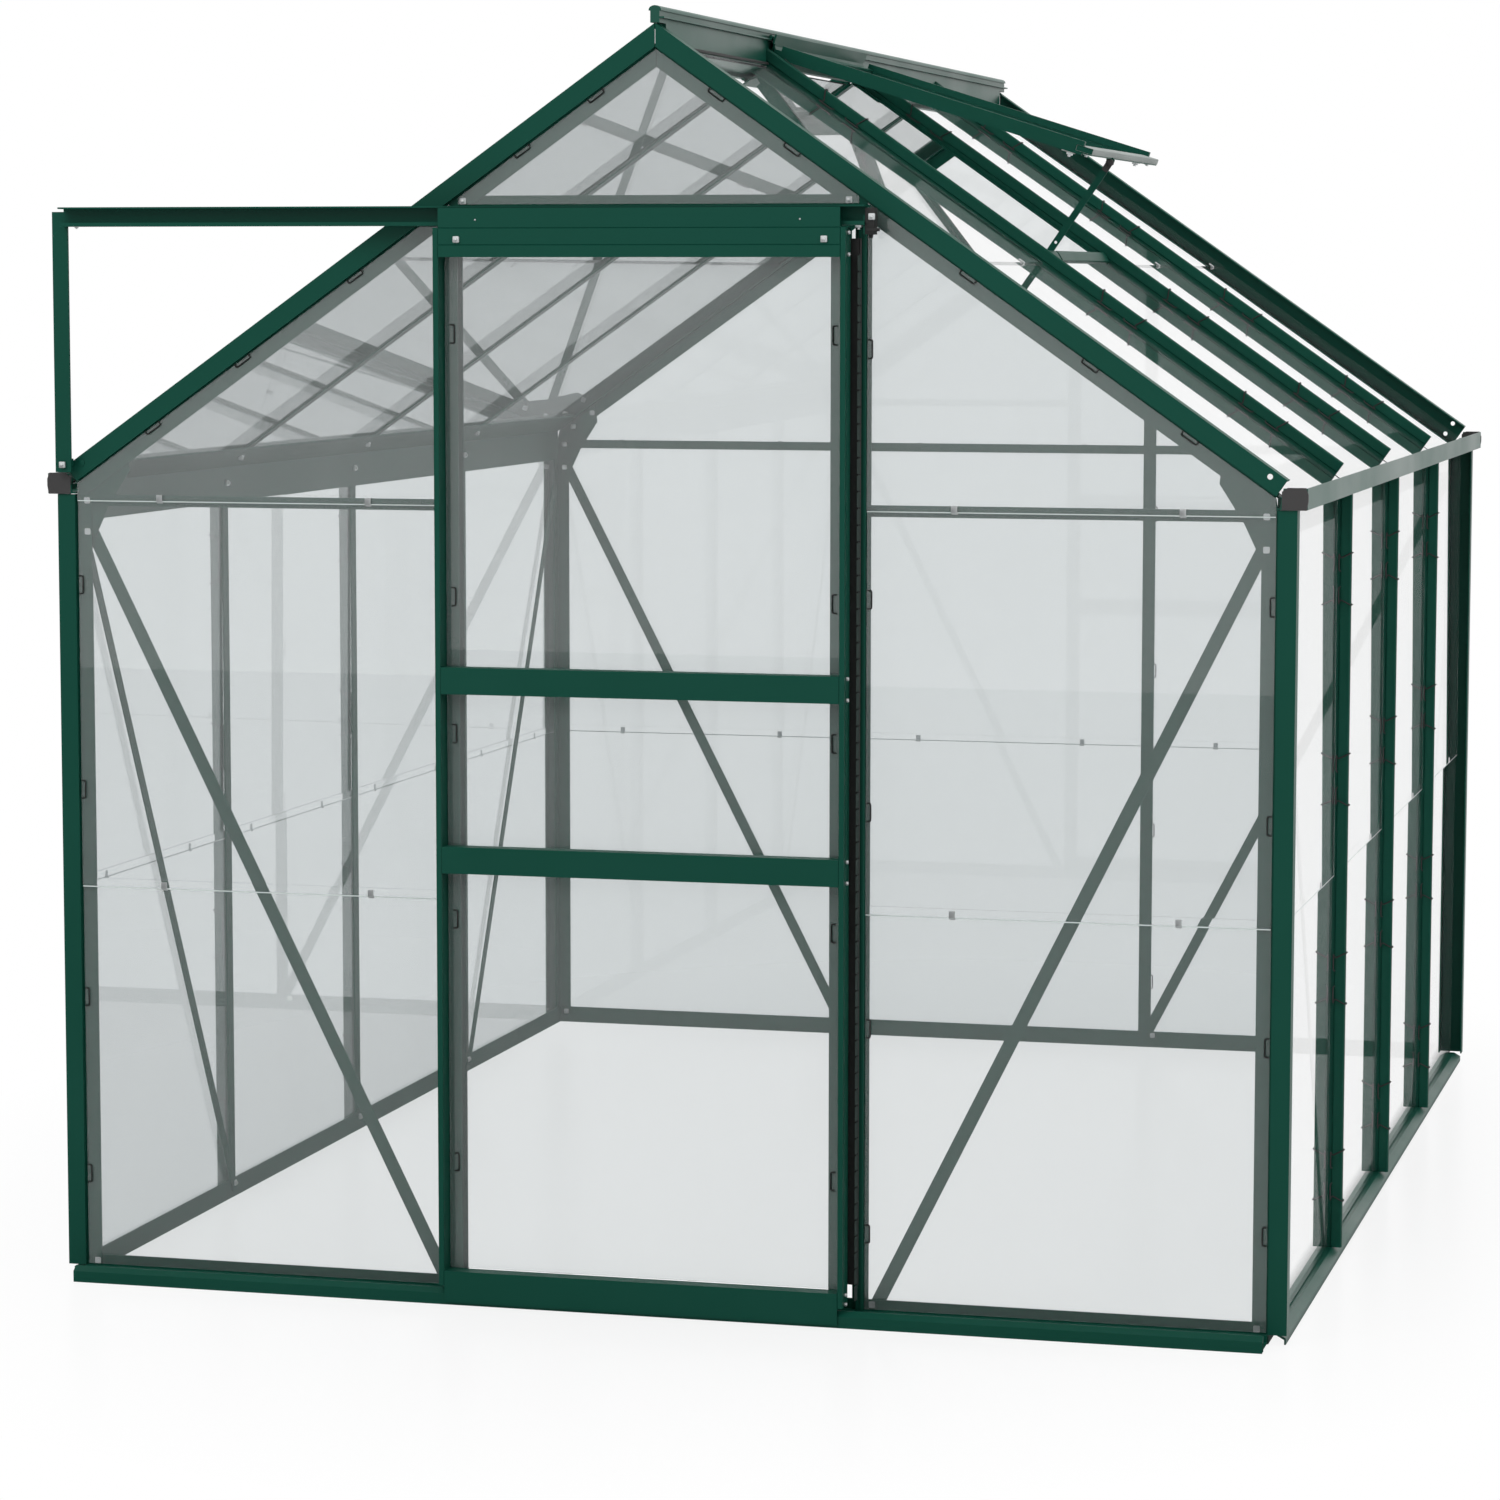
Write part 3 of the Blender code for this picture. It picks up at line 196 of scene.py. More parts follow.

# %% [markdown]
# Panes and metal see the floor as a glowing grey sheet, a painted reflection that ends in front of the
# greenhouse, which draws the level line across every pane. To the right of the walls the painted reflection
# is pale.

# %% Floor as panes and metal mirror it: a painted reflection
SHEET_END_Y = -11.6 - MID_Y
PALE_FROM_X = 0.94
PALE_TO_X = 0.97
split = tree.nodes.new("ShaderNodeSeparateXYZ")
tree.links.new(place, split.inputs["Vector"])
beyond = tree.nodes.new("ShaderNodeMath")
beyond.operation = "LESS_THAN"
beyond.inputs[1].default_value = SHEET_END_Y
tree.links.new(split.outputs["Y"], beyond.inputs[0])
rightward = range_of(tree, split.outputs["X"], PALE_FROM_X, PALE_TO_X, high=0.95)
pale_reflection_mask = math_of(tree, "MAXIMUM", beyond.outputs["Value"], rightward)
reflection_tone = tree.nodes.new("ShaderNodeMix")
reflection_tone.data_type = "RGBA"
reflection_tone.inputs["A"].default_value = (0.12, 0.125, 0.125, 1.0)
reflection_tone.inputs["B"].default_value = (1.0, 1.0, 1.0, 1.0)
tree.links.new(pale_reflection_mask, reflection_tone.inputs["Factor"])
# Painted reflection: glossy rays see this grey glow in place of the lit floor, paler to the right of the
# walls.
grey = tree.nodes.new("ShaderNodeEmission")
tree.links.new(reflection_tone.outputs["Result"], grey.inputs["Color"])

# %% Floor material from both
rays = tree.nodes.new("ShaderNodeLightPath").outputs
direct = math_of(tree, "MAXIMUM", rays["Is Camera Ray"], rays["Is Transmission Ray"])
mirrored = math_of(tree, "SUBTRACT", rays["Is Glossy Ray"], direct)
mirrored.node.use_clamp = True
plain_or_seen = blend_of(tree, direct, shader.outputs["BSDF"], seen_floor)
whole = blend_of(tree, mirrored, plain_or_seen, grey.outputs["Emission"])
tree.links.new(whole, tree.nodes["Material Output"].inputs["Surface"])
floor.data.materials.append(floor_material)
print("floor:", len(tree.nodes), "nodes")

# %% [markdown]
# Powder coat is a sprayed plastic skin on the aluminium: an even satin green with a faint orange-peel
# ripple, slightly paler where dust lies on it. One node group gives the ripple and the patchy tone to
# every painted or metal finish, and each material sets its own amounts.


# %% Shared surface group
def surface_group():
    """Node group: patchy tone, a dust mask and a fine ripple height from Object coordinates."""
    group = bpy.data.node_groups.new("worn_surface", "ShaderNodeTree")
    for name, way, kind in (
        ("Scale", "INPUT", "Float"),
        ("Colour", "INPUT", "Color"),
        ("Worn Colour", "INPUT", "Color"),
        ("Amount", "INPUT", "Float"),
        ("Roughness", "INPUT", "Float"),
        ("Colour", "OUTPUT", "Color"),
        ("Roughness", "OUTPUT", "Float"),
        ("Height", "OUTPUT", "Float"),
    ):
        group.interface.new_socket(name, in_out=way, socket_type=f"NodeSocket{kind}")
    nodes = group.nodes
    links = group.links
    source = nodes.new("NodeGroupInput")
    result = nodes.new("NodeGroupOutput")
    place = nodes.new("ShaderNodeTexCoord").outputs["Object"]
    patches = nodes.new("ShaderNodeTexNoise")
    patches.inputs["Scale"].default_value = 3.5
    patches.inputs["Detail"].default_value = 5.0
    links.new(place, patches.inputs["Vector"])
    patchy = range_of(group, patches.outputs["Fac"], 0.35, 0.75)
    scaled = math_of(group, "MULTIPLY", patchy, source.outputs["Amount"])
    tone = nodes.new("ShaderNodeMix")
    tone.data_type = "RGBA"
    links.new(scaled, tone.inputs["Factor"])
    links.new(source.outputs["Colour"], tone.inputs["A"])
    links.new(source.outputs["Worn Colour"], tone.inputs["B"])
    links.new(tone.outputs["Result"], result.inputs["Colour"])
    rough = nodes.new("ShaderNodeMath")
    rough.operation = "MULTIPLY_ADD"
    rough.inputs[1].default_value = 0.25
    links.new(scaled, rough.inputs[0])
    links.new(source.outputs["Roughness"], rough.inputs[2])
    links.new(rough.outputs["Value"], result.inputs["Roughness"])
    ripple = nodes.new("ShaderNodeTexNoise")
    ripple.inputs["Detail"].default_value = 3.0
    links.new(place, ripple.inputs["Vector"])
    links.new(source.outputs["Scale"], ripple.inputs["Scale"])
    links.new(ripple.outputs["Fac"], result.inputs["Height"])
    return group


SURFACE = surface_group()


def finish(name, colour, worn, amount=0.3, roughness=0.4, metallic=0.0, scale=900.0,
           bump=0.08, specular=0.5):
    """Material made from the shared surface group with its own colours and amounts."""
    material = bpy.data.materials.new(name)
    material.use_nodes = True
    tree = material.node_tree
    shader = tree.nodes["Principled BSDF"]
    group = tree.nodes.new("ShaderNodeGroup")
    group.node_tree = SURFACE
    group.inputs["Scale"].default_value = scale
    group.inputs["Colour"].default_value = (*colour, 1.0)
    group.inputs["Worn Colour"].default_value = (*worn, 1.0)
    group.inputs["Amount"].default_value = amount
    group.inputs["Roughness"].default_value = roughness
    tree.links.new(group.outputs["Colour"], shader.inputs["Base Color"])
    tree.links.new(group.outputs["Roughness"], shader.inputs["Roughness"])
    ripple = tree.nodes.new("ShaderNodeBump")
    ripple.inputs["Strength"].default_value = bump
    ripple.inputs["Distance"].default_value = 0.0005
    tree.links.new(group.outputs["Height"], ripple.inputs["Height"])
    tree.links.new(ripple.outputs["Normal"], shader.inputs["Normal"])
    shader.inputs["Metallic"].default_value = metallic
    shader.inputs["Specular IOR Level"].default_value = specular
    return material


GREEN = finish("green_powder_coat", (0.0045, 0.066, 0.043), (0.008, 0.080, 0.055), 0.5, 0.36,
               specular=0.14)
# Painted sheen: a paler, glossier copy of the green for the right gutter, right sill and ridge bar, which
# catch the bright side.
GREEN_SHEEN = finish("green_powder_coat_painted_sheen", (0.006, 0.072, 0.048), (0.010, 0.088, 0.062), 0.5, 0.30,
               specular=0.30)
DARK = finish("black_rubber", (0.012, 0.013, 0.012), (0.025, 0.026, 0.025), 0.5, 0.6, scale=500.0)
PLASTIC = finish("dark_grey_plastic", (0.042, 0.040, 0.040), (0.06, 0.058, 0.057), 0.5, 0.5,
                 scale=600.0)
SILVER = finish("zinc_plate", (0.72, 0.74, 0.74), (0.58, 0.60, 0.61), 0.6, 0.34, metallic=0.75,
                scale=700.0)
# Painted highlight: a pale strip at each pane lap stands in for the light that gathers in the glass edge.
EDGE_HIGHLIGHT = finish("painted_glass_edge_highlight", (0.78, 0.84, 0.82), (0.66, 0.74, 0.72), 0.5, 0.2,
                   scale=300.0)
BRISTLE = finish("brush_bristle", (0.030, 0.048, 0.042), (0.05, 0.07, 0.062), 0.7, 0.8,
                 scale=2600.0, bump=0.6)
BARE = finish("bare_aluminium", (0.34, 0.375, 0.355), (0.26, 0.29, 0.275), 0.6, 0.5, metallic=0.1)
print("finishes made from", SURFACE.name)

# %% [markdown]
# Horticultural glass looks grey-white here: part of the light goes through, part is scattered by a thin
# film of dust and part is mirrored. A Principled shader with most of its weight in transmission gives all
# three, and shadow rays pass through so that the inside stays light. The face's true normal keeps every
# pane's mirror flat. The right side's panes get a paler copy with a full coat, a painted highlight where
# they face the bright side, and the left roof's get a dark, dull copy, which is painted shade.


# %% Glass
def glass_finish(name, colour, transmission, coat=0.0, mirror=0.5):
    """Flat clear glass with a little haze: its tint, how much passes, a coat and how much it mirrors."""
    material = bpy.data.materials.new(name)
    material.use_nodes = True
    tree = material.node_tree
    shader = tree.nodes["Principled BSDF"]
    haze = tree.nodes.new("ShaderNodeTexNoise")
    haze.inputs["Scale"].default_value = 1.6
    haze.inputs["Detail"].default_value = 4.0
    place = tree.nodes.new("ShaderNodeTexCoord").outputs["Object"]
    tree.links.new(place, haze.inputs["Vector"])
    tone = tree.nodes.new("ShaderNodeMix")
    tone.data_type = "RGBA"
    tone.inputs["A"].default_value = (*colour, 1.0)
    tone.inputs["B"].default_value = (*[part * 0.97 for part in colour], 1.0)
    tree.links.new(haze.outputs["Fac"], tone.inputs["Factor"])
    tree.links.new(tone.outputs["Result"], shader.inputs["Base Color"])
    shader.inputs["Roughness"].default_value = 0.0
    shader.inputs["IOR"].default_value = 1.50
    shader.inputs["Specular IOR Level"].default_value = mirror
    shader.inputs["Coat Weight"].default_value = coat
    shader.inputs["Coat Roughness"].default_value = 0.0
    shader.inputs["Coat IOR"].default_value = 1.6
    shader.inputs["Transmission Weight"].default_value = transmission
    flat = tree.nodes.new("ShaderNodeNewGeometry").outputs["True Normal"]
    tree.links.new(flat, shader.inputs["Normal"])
    tree.links.new(flat, shader.inputs["Coat Normal"])
    clear = tree.nodes.new("ShaderNodeBsdfTransparent")
    clear.inputs["Color"].default_value = (0.86, 0.88, 0.88, 1.0)
    shadow = tree.nodes.new("ShaderNodeLightPath").outputs["Is Shadow Ray"]
    whole = blend_of(tree, shadow, shader.outputs["BSDF"], clear.outputs["BSDF"])
    tree.links.new(whole, tree.nodes["Material Output"].inputs["Surface"])
    return material


GLASS = glass_finish("horticultural_glass", (0.85, 0.872, 0.876), 0.94)
# Painted highlight: a paler copy with a full coat, so that the right side's panes mirror more where they
# face the bright side.
LIT_SIDE_GLASS = glass_finish("horticultural_glass_painted_highlight", (0.88, 0.895, 0.895), 0.93, coat=1.0)
# Painted shade: a dark, dull copy of the glass for the left roof's panes.
SHADED_GLASS = glass_finish("horticultural_glass_painted_shade", (0.42, 0.44, 0.44), 0.96, mirror=0.12)

# %% Dress the solids
for name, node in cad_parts.items():
    chosen = GREEN
    # Painted light by side: the left roof's panes take the painted-shade glass and the right side's panes
    # the painted-highlight glass.
    if name.startswith("left_roof_glass"):
        chosen = SHADED_GLASS
    elif "glass" in name and name.startswith(("right_roof", "right_wall", "vent")):
        chosen = LIT_SIDE_GLASS
    elif "glass" in name:
        chosen = GLASS
    # Painted sheen: the right gutter, right sill and ridge bar take the paler, glossier green.
    elif name in ("right_gutter", "right_sill", "ridge_bar"):
        chosen = GREEN_SHEEN
    elif name.endswith("roller"):
        chosen = PLASTIC
    for slot in node.material_slots:
        slot.material = chosen
print("dressed", len(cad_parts), "solids")

# %% [markdown]
# The fittings are what make the frame read as a kit: square nuts, spring-wire clips, lap clips and plastic
# caps. Each kind is modelled once at the origin with +Z pointing out of the face it sits on, then copied to
# its places, which come from the sizes above. A few helpers do the selecting that a mouse would do.


# %% Modelling helpers
def only(piece):
    """Select one object and make it the active one."""
    bpy.ops.object.select_all(action="DESELECT")
    piece.select_set(True)
    bpy.context.view_layer.objects.active = piece


def settle(piece):
    """Put the object's place into its mesh, so that the object itself sits at the origin."""
    only(piece)
    bpy.ops.object.transform_apply(location=True, rotation=True, scale=True)
    return piece


def block(name, low, high):
    """Cube primitive between two corners, a start to be shaped."""
    low = Vector(low)
    high = Vector(high)
    bpy.ops.object.select_all(action="DESELECT")
    bpy.ops.mesh.primitive_cube_add(size=1.0, location=(low + high) / 2)
    piece = bpy.context.object
    piece.name = name
    piece.scale = high - low
    return settle(piece)


def disc(name, radius, low, high, sides=16):
    """Cylinder primitive on the Z axis, a start to be shaped."""
    bpy.ops.object.select_all(action="DESELECT")
    bpy.ops.mesh.primitive_cylinder_add(vertices=sides, radius=radius, depth=high - low,
                                        location=(0, 0, (low + high) / 2))
    piece = bpy.context.object
    piece.name = name
    return settle(piece)


def pick(piece, kind, test):
    """Enter edit mode and select the faces or edges that pass a test."""
    only(piece)
    bpy.ops.object.mode_set(mode="EDIT")
    bpy.ops.mesh.select_mode(type=kind)
    bpy.ops.mesh.select_all(action="DESELECT")
    shape = bmesh.from_edit_mesh(piece.data)
    parts = shape.faces if kind == "FACE" else shape.edges
    for part in parts:
        if test(part):
            part.select_set(True)
    bmesh.update_edit_mesh(piece.data)


def leave():
    """Back from edit mode."""
    bpy.ops.object.mode_set(mode="OBJECT")


def upright(edge):
    """True for an edge that runs along Z."""
    run = edge.verts[1].co - edge.verts[0].co
    return abs(run.z) > 0.99 * run.length


def top_face(face):
    """True for a face that looks straight up."""
    return face.normal.z > 0.99


def join(name, pieces):
    """Join pieces into one object with one mesh."""
    bpy.ops.object.select_all(action="DESELECT")
    for piece in pieces:
        piece.select_set(True)
    bpy.context.view_layer.objects.active = pieces[0]
    if len(pieces) > 1:
        bpy.ops.object.join()
    pieces[0].name = name
    return pieces[0]


def facing(point, out, up=Z):
    """Matrix that stands a fitting on a face: its Z along out, its Y as near to up as it can be."""
    out = Vector(out).normalized()
    across = Vector(up).cross(out).normalized()
    rise = out.cross(across)
    turn = Matrix((across, rise, out)).transposed().to_4x4()
    return Matrix.Translation(Vector(point)) @ turn


SMOOTH_BELOW = math.radians(35)


def wear(piece, material, body):
    """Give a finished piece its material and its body."""
    piece.data.materials.clear()
    piece.data.materials.append(material)
    only(piece)
    bpy.ops.object.shade_smooth_by_angle(angle=SMOOTH_BELOW)
    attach(piece, body)
    return piece


def spread(name, template, places, material, body="frame"):
    """Copy a fitting to its places, each copy with its own mesh, as one named set."""
    copies = []
    for place in places:
        twin = template.copy()
        twin.data = template.data.copy()
        bpy.context.scene.collection.objects.link(twin)
        twin.matrix_world = place
        copies.append(twin)
    bpy.ops.object.select_all(action="DESELECT")
    for twin in copies:
        twin.select_set(True)
    bpy.context.view_layer.objects.active = copies[0]
    bpy.ops.object.transform_apply(location=True, rotation=True, scale=True)
    made = join(name, copies)
    print(name, "x", len(places), "faces", len(made.data.polygons))
    return wear(made, material, body)


def drop(template):
    """Remove a template once all its copies are made."""
    bpy.data.objects.remove(template, do_unlink=True)


def rounded(points, radius, steps):
    """Path with each corner turned into a short curve, as bent wire has."""
    points = [Vector(point) for point in points]
    path = [points[0]]
    for before, point, after in zip(points, points[1:], points[2:]):
        near = min(radius, (before - point).length * 0.45, (after - point).length * 0.45)
        start = point + (before - point).normalized() * near
        end = point + (after - point).normalized() * near
        for step in range(steps + 1):
            t = step / steps
            path.append(start * (1 - t) ** 2 + point * 2 * t * (1 - t) + end * t ** 2)
    path.append(points[-1])
    return path


def wire(name, points, radius):
    """Round wire along a path: a curve with thickness, made a mesh."""
    curve = bpy.data.curves.new(name, "CURVE")
    curve.dimensions = "3D"
    curve.bevel_depth = radius
    curve.bevel_resolution = 0
    curve.use_fill_caps = True
    spline = curve.splines.new("POLY")
    spline.points.add(len(points) - 1)
    for knot, point in zip(spline.points, points):
        knot.co = (*point, 1.0)
    piece = bpy.data.objects.new(name, curve)
    bpy.context.scene.collection.objects.link(piece)
    only(piece)
    bpy.ops.object.convert(target="MESH")
    return bpy.context.object


def ribbon(name, path, across, half, thick):
    """Bent strip: the edge of a plane is extruded from point to point, then given its thickness."""
    path = [Vector(point) for point in path]
    across = Vector(across).normalized() * half
    bpy.ops.object.select_all(action="DESELECT")
    bpy.ops.mesh.primitive_plane_add(size=1.0)
    piece = bpy.context.object
    piece.name = name
    bpy.ops.object.mode_set(mode="EDIT")
    shape = bmesh.from_edit_mesh(piece.data)
    corners = [path[0] - across, path[0] + across, path[1] + across, path[1] - across]
    shape.faces.ensure_lookup_table()
    for vertex, corner in zip(shape.faces[0].verts, corners):
        vertex.co = corner
    bmesh.update_edit_mesh(piece.data)
    leave()
    for start, end in zip(path[1:-1], path[2:]):
        pick(piece, "EDGE", lambda edge: all(
            min((vertex.co - start - across).length, (vertex.co - start + across).length) < 0.00001
            for vertex in edge.verts))
        bpy.ops.mesh.extrude_region_move(TRANSFORM_OT_translate={"value": end - start})
        leave()
    only(piece)
    bpy.ops.object.mode_set(mode="EDIT")
    bpy.ops.mesh.select_all(action="SELECT")
    bpy.ops.mesh.normals_make_consistent(inside=False)
    leave()
    shell = piece.modifiers.new("thickness", "SOLIDIFY")
    shell.thickness = thick
    shell.offset = 0.0
    shell.use_even_offset = True
    bpy.ops.object.modifier_apply(modifier="thickness")
    return piece


# %% [markdown]
# The frame is held by small bolts: a square nut with rounded corners turned onto a threaded end. From the
# outside the nut shows with the thread in its middle. A cube's upright edges are bevelled round, its rim is
# eased, and the threaded end is a second shape joined to it.

# %% Square nut
nut_body = block("nut", (-0.0048, -0.0048, 0.0), (0.0048, 0.0048, 0.0034))
pick(nut_body, "EDGE", upright)
bpy.ops.mesh.bevel(offset=0.0015, segments=3)
leave()
pick(nut_body, "EDGE", lambda edge: all(vertex.co.z > 0.0033 for vertex in edge.verts))
bpy.ops.mesh.bevel(offset=0.0004, segments=2)
leave()
thread = disc("thread", 0.0026, 0.0004, 0.0060)
pick(thread, "FACE", top_face)
bpy.ops.mesh.inset(thickness=0.0005)
bpy.ops.transform.translate(value=(0, 0, 0.0003))
leave()
nut = join("nut", [nut_body, thread])

# %% Round screw head with a cross recess
screw = disc("screw", 0.0030, 0.0, 0.0034, 20)
pick(screw, "EDGE", lambda edge: all(vertex.co.z > 0.0033 for vertex in edge.verts))
bpy.ops.mesh.bevel(offset=0.0014, segments=4)
leave()
pick(screw, "FACE", lambda face: top_face(face) and len(face.verts) > 8)
bpy.ops.mesh.inset(thickness=0.0005)
bpy.ops.mesh.extrude_region_move(TRANSFORM_OT_translate={"value": (0, 0, -0.0005)})
leave()

# %% Flat square bolt head that lies under the glass
flat_head = block("flat_head", (-0.0048, -0.0048, 0.0), (0.0048, 0.0048, 0.00022))
pick(flat_head, "EDGE", upright)
bpy.ops.mesh.bevel(offset=0.0016, segments=3)
leave()
pick(flat_head, "FACE", top_face)
bpy.ops.mesh.inset(thickness=0.0012)
bpy.ops.transform.translate(value=(0, 0, -0.0001))
leave()
print("bolt parts:", len(nut.data.polygons), len(screw.data.polygons), len(flat_head.data.polygons))

# %% [markdown]
# Where the bolts sit comes from the frame: through the gussets and rails of both gables, through the sills,
# the door header, the crossbar over the door and the strut that carries the end of the track.

# %% Nuts and bolt heads of the gables
UP_OUT = {"front": (-1, FRONT_Y), "rear": (1, REAR_Y)}
GUSSET_SPOTS = ((0.8454, 1.2689), (0.8860, 1.2406))
FLANGE_SPOTS = ((0.9050, 1.2040), (0.9050, 1.1566), (0.9050, 0.0228))
SILL_SPOT = (0.3300, 0.0245)
HEAD_SINK = 0.0020
FLANGE_BACK = 0.0072
SILL_BACK = 0.0050
for end, (out, gable) in UP_OUT.items():
    heads = []
    backs = []
    for side in (-1, 1):
        for x, z in GUSSET_SPOTS:
            heads.append(facing((side * x, gable - out * HEAD_SINK, z), Y * out))
            backs.append(facing((side * x, gable - out * FLANGE_BACK, z), Y * -out))
        for x, z in FLANGE_SPOTS:
            heads.append(facing((side * x, gable + out * 0.0001, z), Y * out))
            backs.append(facing((side * x, gable - out * FLANGE_BACK, z), Y * -out))
        x, z = SILL_SPOT
        heads.append(facing((side * x, gable - out * HEAD_SINK, z), Y * out))
        backs.append(facing((side * x, gable - out * SILL_BACK, z), Y * -out))
    spread(f"{end}_gable_bolt_heads", flat_head, heads, SILVER)
    spread(f"{end}_gable_nuts", nut, backs, SILVER)

# %% Nuts of the door, the crossbar and the track
spread("door_header_nuts", nut,
       [facing((x, DOOR_FRONT, 1.5988), -Y) for x in (-0.2890, 0.2685)], SILVER, "door")
spread("crossbar_nuts", nut,
       [facing((x, FRONT_Y + 0.0020, 1.6560), -Y) for x in (-0.2987, 0.2904)], SILVER)
spread("strut_nut", nut, [facing((-0.9315, at_y(-0.0225), 1.2593), -Y)], SILVER)
DOOR_SIDES = ((0.3001, X), (-0.3261, -X))
SCREW_HEIGHTS = (1.5770, 1.6085, 0.9303, 0.9617, 0.6613, 0.6927, 0.0335, 0.0475)
side_screws = []
for height in SCREW_HEIGHTS:
    for x, out in DOOR_SIDES:
        side_screws.append(facing((x, DOOR_FRONT + 0.0160, height), out))
spread("door_side_screws", screw, side_screws, SILVER, "door")
AXLE_END_SIZE = 0.45
axle_ends = [
    facing((x, DOOR_FRONT, 1.6275), -Y) @ Matrix.Scale(AXLE_END_SIZE, 4) for x in (-0.2598, 0.2325)
]
spread("door_axle_ends", screw, axle_ends, SILVER, "door")

# %% Nuts of the side walls: stud feet, stud heads and the tips of the roof bars
STUD_NUTS = (0.0235, 1.2040)
BAR_TIP = 1.0960
wall_nuts = []
for side in (-1, 1):
    for index in (1, 2, 3):
        for height in STUD_NUTS:
            spot = (side * (SIDE_X - 0.0046), at_y(BAY * index), height)
            wall_nuts.append(facing(spot, X * -side))
        tip = on_roof(side, BAR_TIP, -0.0048, BAY * index)
        wall_nuts.append(facing(tip, -Vector((side * SIN, 0, COS)), Y))
spread("side_wall_nuts", nut, wall_nuts, SILVER)

# %% [markdown]
# Spring-wire clips press the panes onto the bars. On the side studs and roof bars one wire spans the proud
# nose: two long arms lie on the panes, and at each end the wire dips under the nose and crosses over it,
# which shows from the side as a V. The wire is a curve with a round bevel; its corners are eased so that
# it looks bent, not mitred.

# %% Clip that spans a bar
WIRE = 0.0012
ON_NOSE = 0.0260 + WIRE + 0.0002
ON_PANE = 0.0063 + WIRE + 0.0002


def clip_path():
    """The clip's path: under the nose, along one pane, over the nose, and the mirror image back."""
    left = [
        (-0.0068, 0.0120, 0.0098),
        (-0.0125, 0.0135, ON_PANE),
        (-0.0125, 0.0395, ON_PANE),
        (-0.0070, 0.0325, 0.0100),
        (-0.0072, 0.0400, 0.0250),
        (-0.0060, 0.0408, ON_NOSE),
        (0.0060, 0.0408, ON_NOSE),
        (0.0072, 0.0400, 0.0250),
        (0.0070, 0.0325, 0.0100),
        (0.0125, 0.0395, ON_PANE),
    ]
    return left + [(x, -y, z) for x, y, z in reversed(left)]


bar_clip = wire("bar_clip", rounded(clip_path(), 0.0016, steps=1), WIRE)
print("bar clip faces:", len(bar_clip.data.polygons))

# %% Clips on the studs and roof bars
STUD_CLIPS = (0.132, 0.447, 0.762, 1.077)
VENT_ROW = 0.420
ROOF_CLIPS = (0.150, VENT_ROW, 0.700, 0.975)
for side, side_name in ((-1, "left"), (1, "right")):
    places = []
    for index in (1, 2, 3):
        for height in STUD_CLIPS:
            places.append(facing((side * SIDE_X, at_y(BAY * index), height), X * side))
    spread(f"{side_name}_stud_clips", bar_clip, places, DARK, "frame")
    places = []
    for index in (1, 2, 3):
        for s in ROOF_CLIPS:
            beside_vent = side > 0 and index < 3 and s == VENT_ROW
            if beside_vent:
                continue
            out = Vector((side * SIN, 0, COS))
            uphill = Vector((-side * COS, 0, SIN))
            places.append(facing(on_roof(side, s, 0.0, BAY * index), out, uphill))
    spread(f"{side_name}_roof_clips", bar_clip, places, DARK, "frame")

# %% [markdown]
# The gable and door panes are held by smaller clips: a flat loop of the same wire that lies on the glass
# with one long side pushed under the nose of the bar.

# %% Loop clip
LOOP_WIRE = 0.0012
LOOP_IN = 0.0004
LOOP_OUT = 0.0068
LOOP_HALF = 0.0135
loop = [(LOOP_IN, -LOOP_HALF, 0.0), (LOOP_OUT, -LOOP_HALF, 0.0),
        (LOOP_OUT, LOOP_HALF, 0.0), (LOOP_IN, LOOP_HALF, 0.0)]
loop_clip = wire("loop_clip", rounded(loop, 0.0022, steps=2), LOOP_WIRE)
WALL_LAP = 0.6110
EAVE_LAP = 1.2050
EAVE_BEND = 1.2
FLAT_FACE = 0.0033
LAPPED_FACE = 0.0063


def pane_face(z):
    """How far the face of a lapped gable pane stands out of the glass plane at a height."""
    if z < WALL_LAP:
        return FLAT_FACE
    if z < EAVE_BEND:
        return LAPPED_FACE - 0.0050 * (z - WALL_LAP)
    return max(FLAT_FACE, LAPPED_FACE - 0.0067 * (z - EAVE_BEND))


JAMB_CLIPS = (0.3204, 1, (1.440, 1.075, 0.762, 0.440, 0.132))
POST_CLIPS = (0.9188, -1, (1.075, 0.760, 0.437, 0.160))
RAFTER_CLIPS = (0.117, 0.256, 0.577, 0.797, 0.975)
for end, (out, gable) in UP_OUT.items():
    places = []
    for side in (-1, 1):
        for x, toward, heights in (JAMB_CLIPS, POST_CLIPS):
            up = Z if side * toward * -out > 0 else -Z
            for z in heights:
                point = Vector((side * x, gable + out * (pane_face(z) + LOOP_WIRE), z))
                places.append(facing(point, Y * out, up))
        for s in RAFTER_CLIPS:
            point = on_roof(side, s, -0.0036, 0.0)
            point.y = gable + out * (pane_face(point.z) + LOOP_WIRE)
            down_slope = Vector((side * COS, 0, -SIN))
            turned = facing(point, Y * out, down_slope)
            if (turned.to_3x3() @ X).dot(Vector((side * SIN, 0, COS))) > 0:
                turned = facing(point, Y * out, -down_slope)
            places.append(turned)
    spread(f"{end}_gable_clips", loop_clip, places, DARK, "frame")
DOOR_CLIPS = (1.460, 1.070, 0.865, 0.585, 0.215)
DOOR_PANE = DOOR_FRONT + 0.0256
places = []
for height in DOOR_CLIPS:
    places.append(facing((0.2825, DOOR_PANE, height), -Y, -Z))
    places.append(facing((-0.3085, DOOR_PANE, height), -Y, Z))
spread("door_clips", loop_clip, places, DARK, "door")

# %% [markdown]
# Where one pane laps over the next, two small Z-shaped strips hang the upper pane on the lower one. A strip
# is a plane's edge extruded along the bends and thickened, with its cut edges eased.

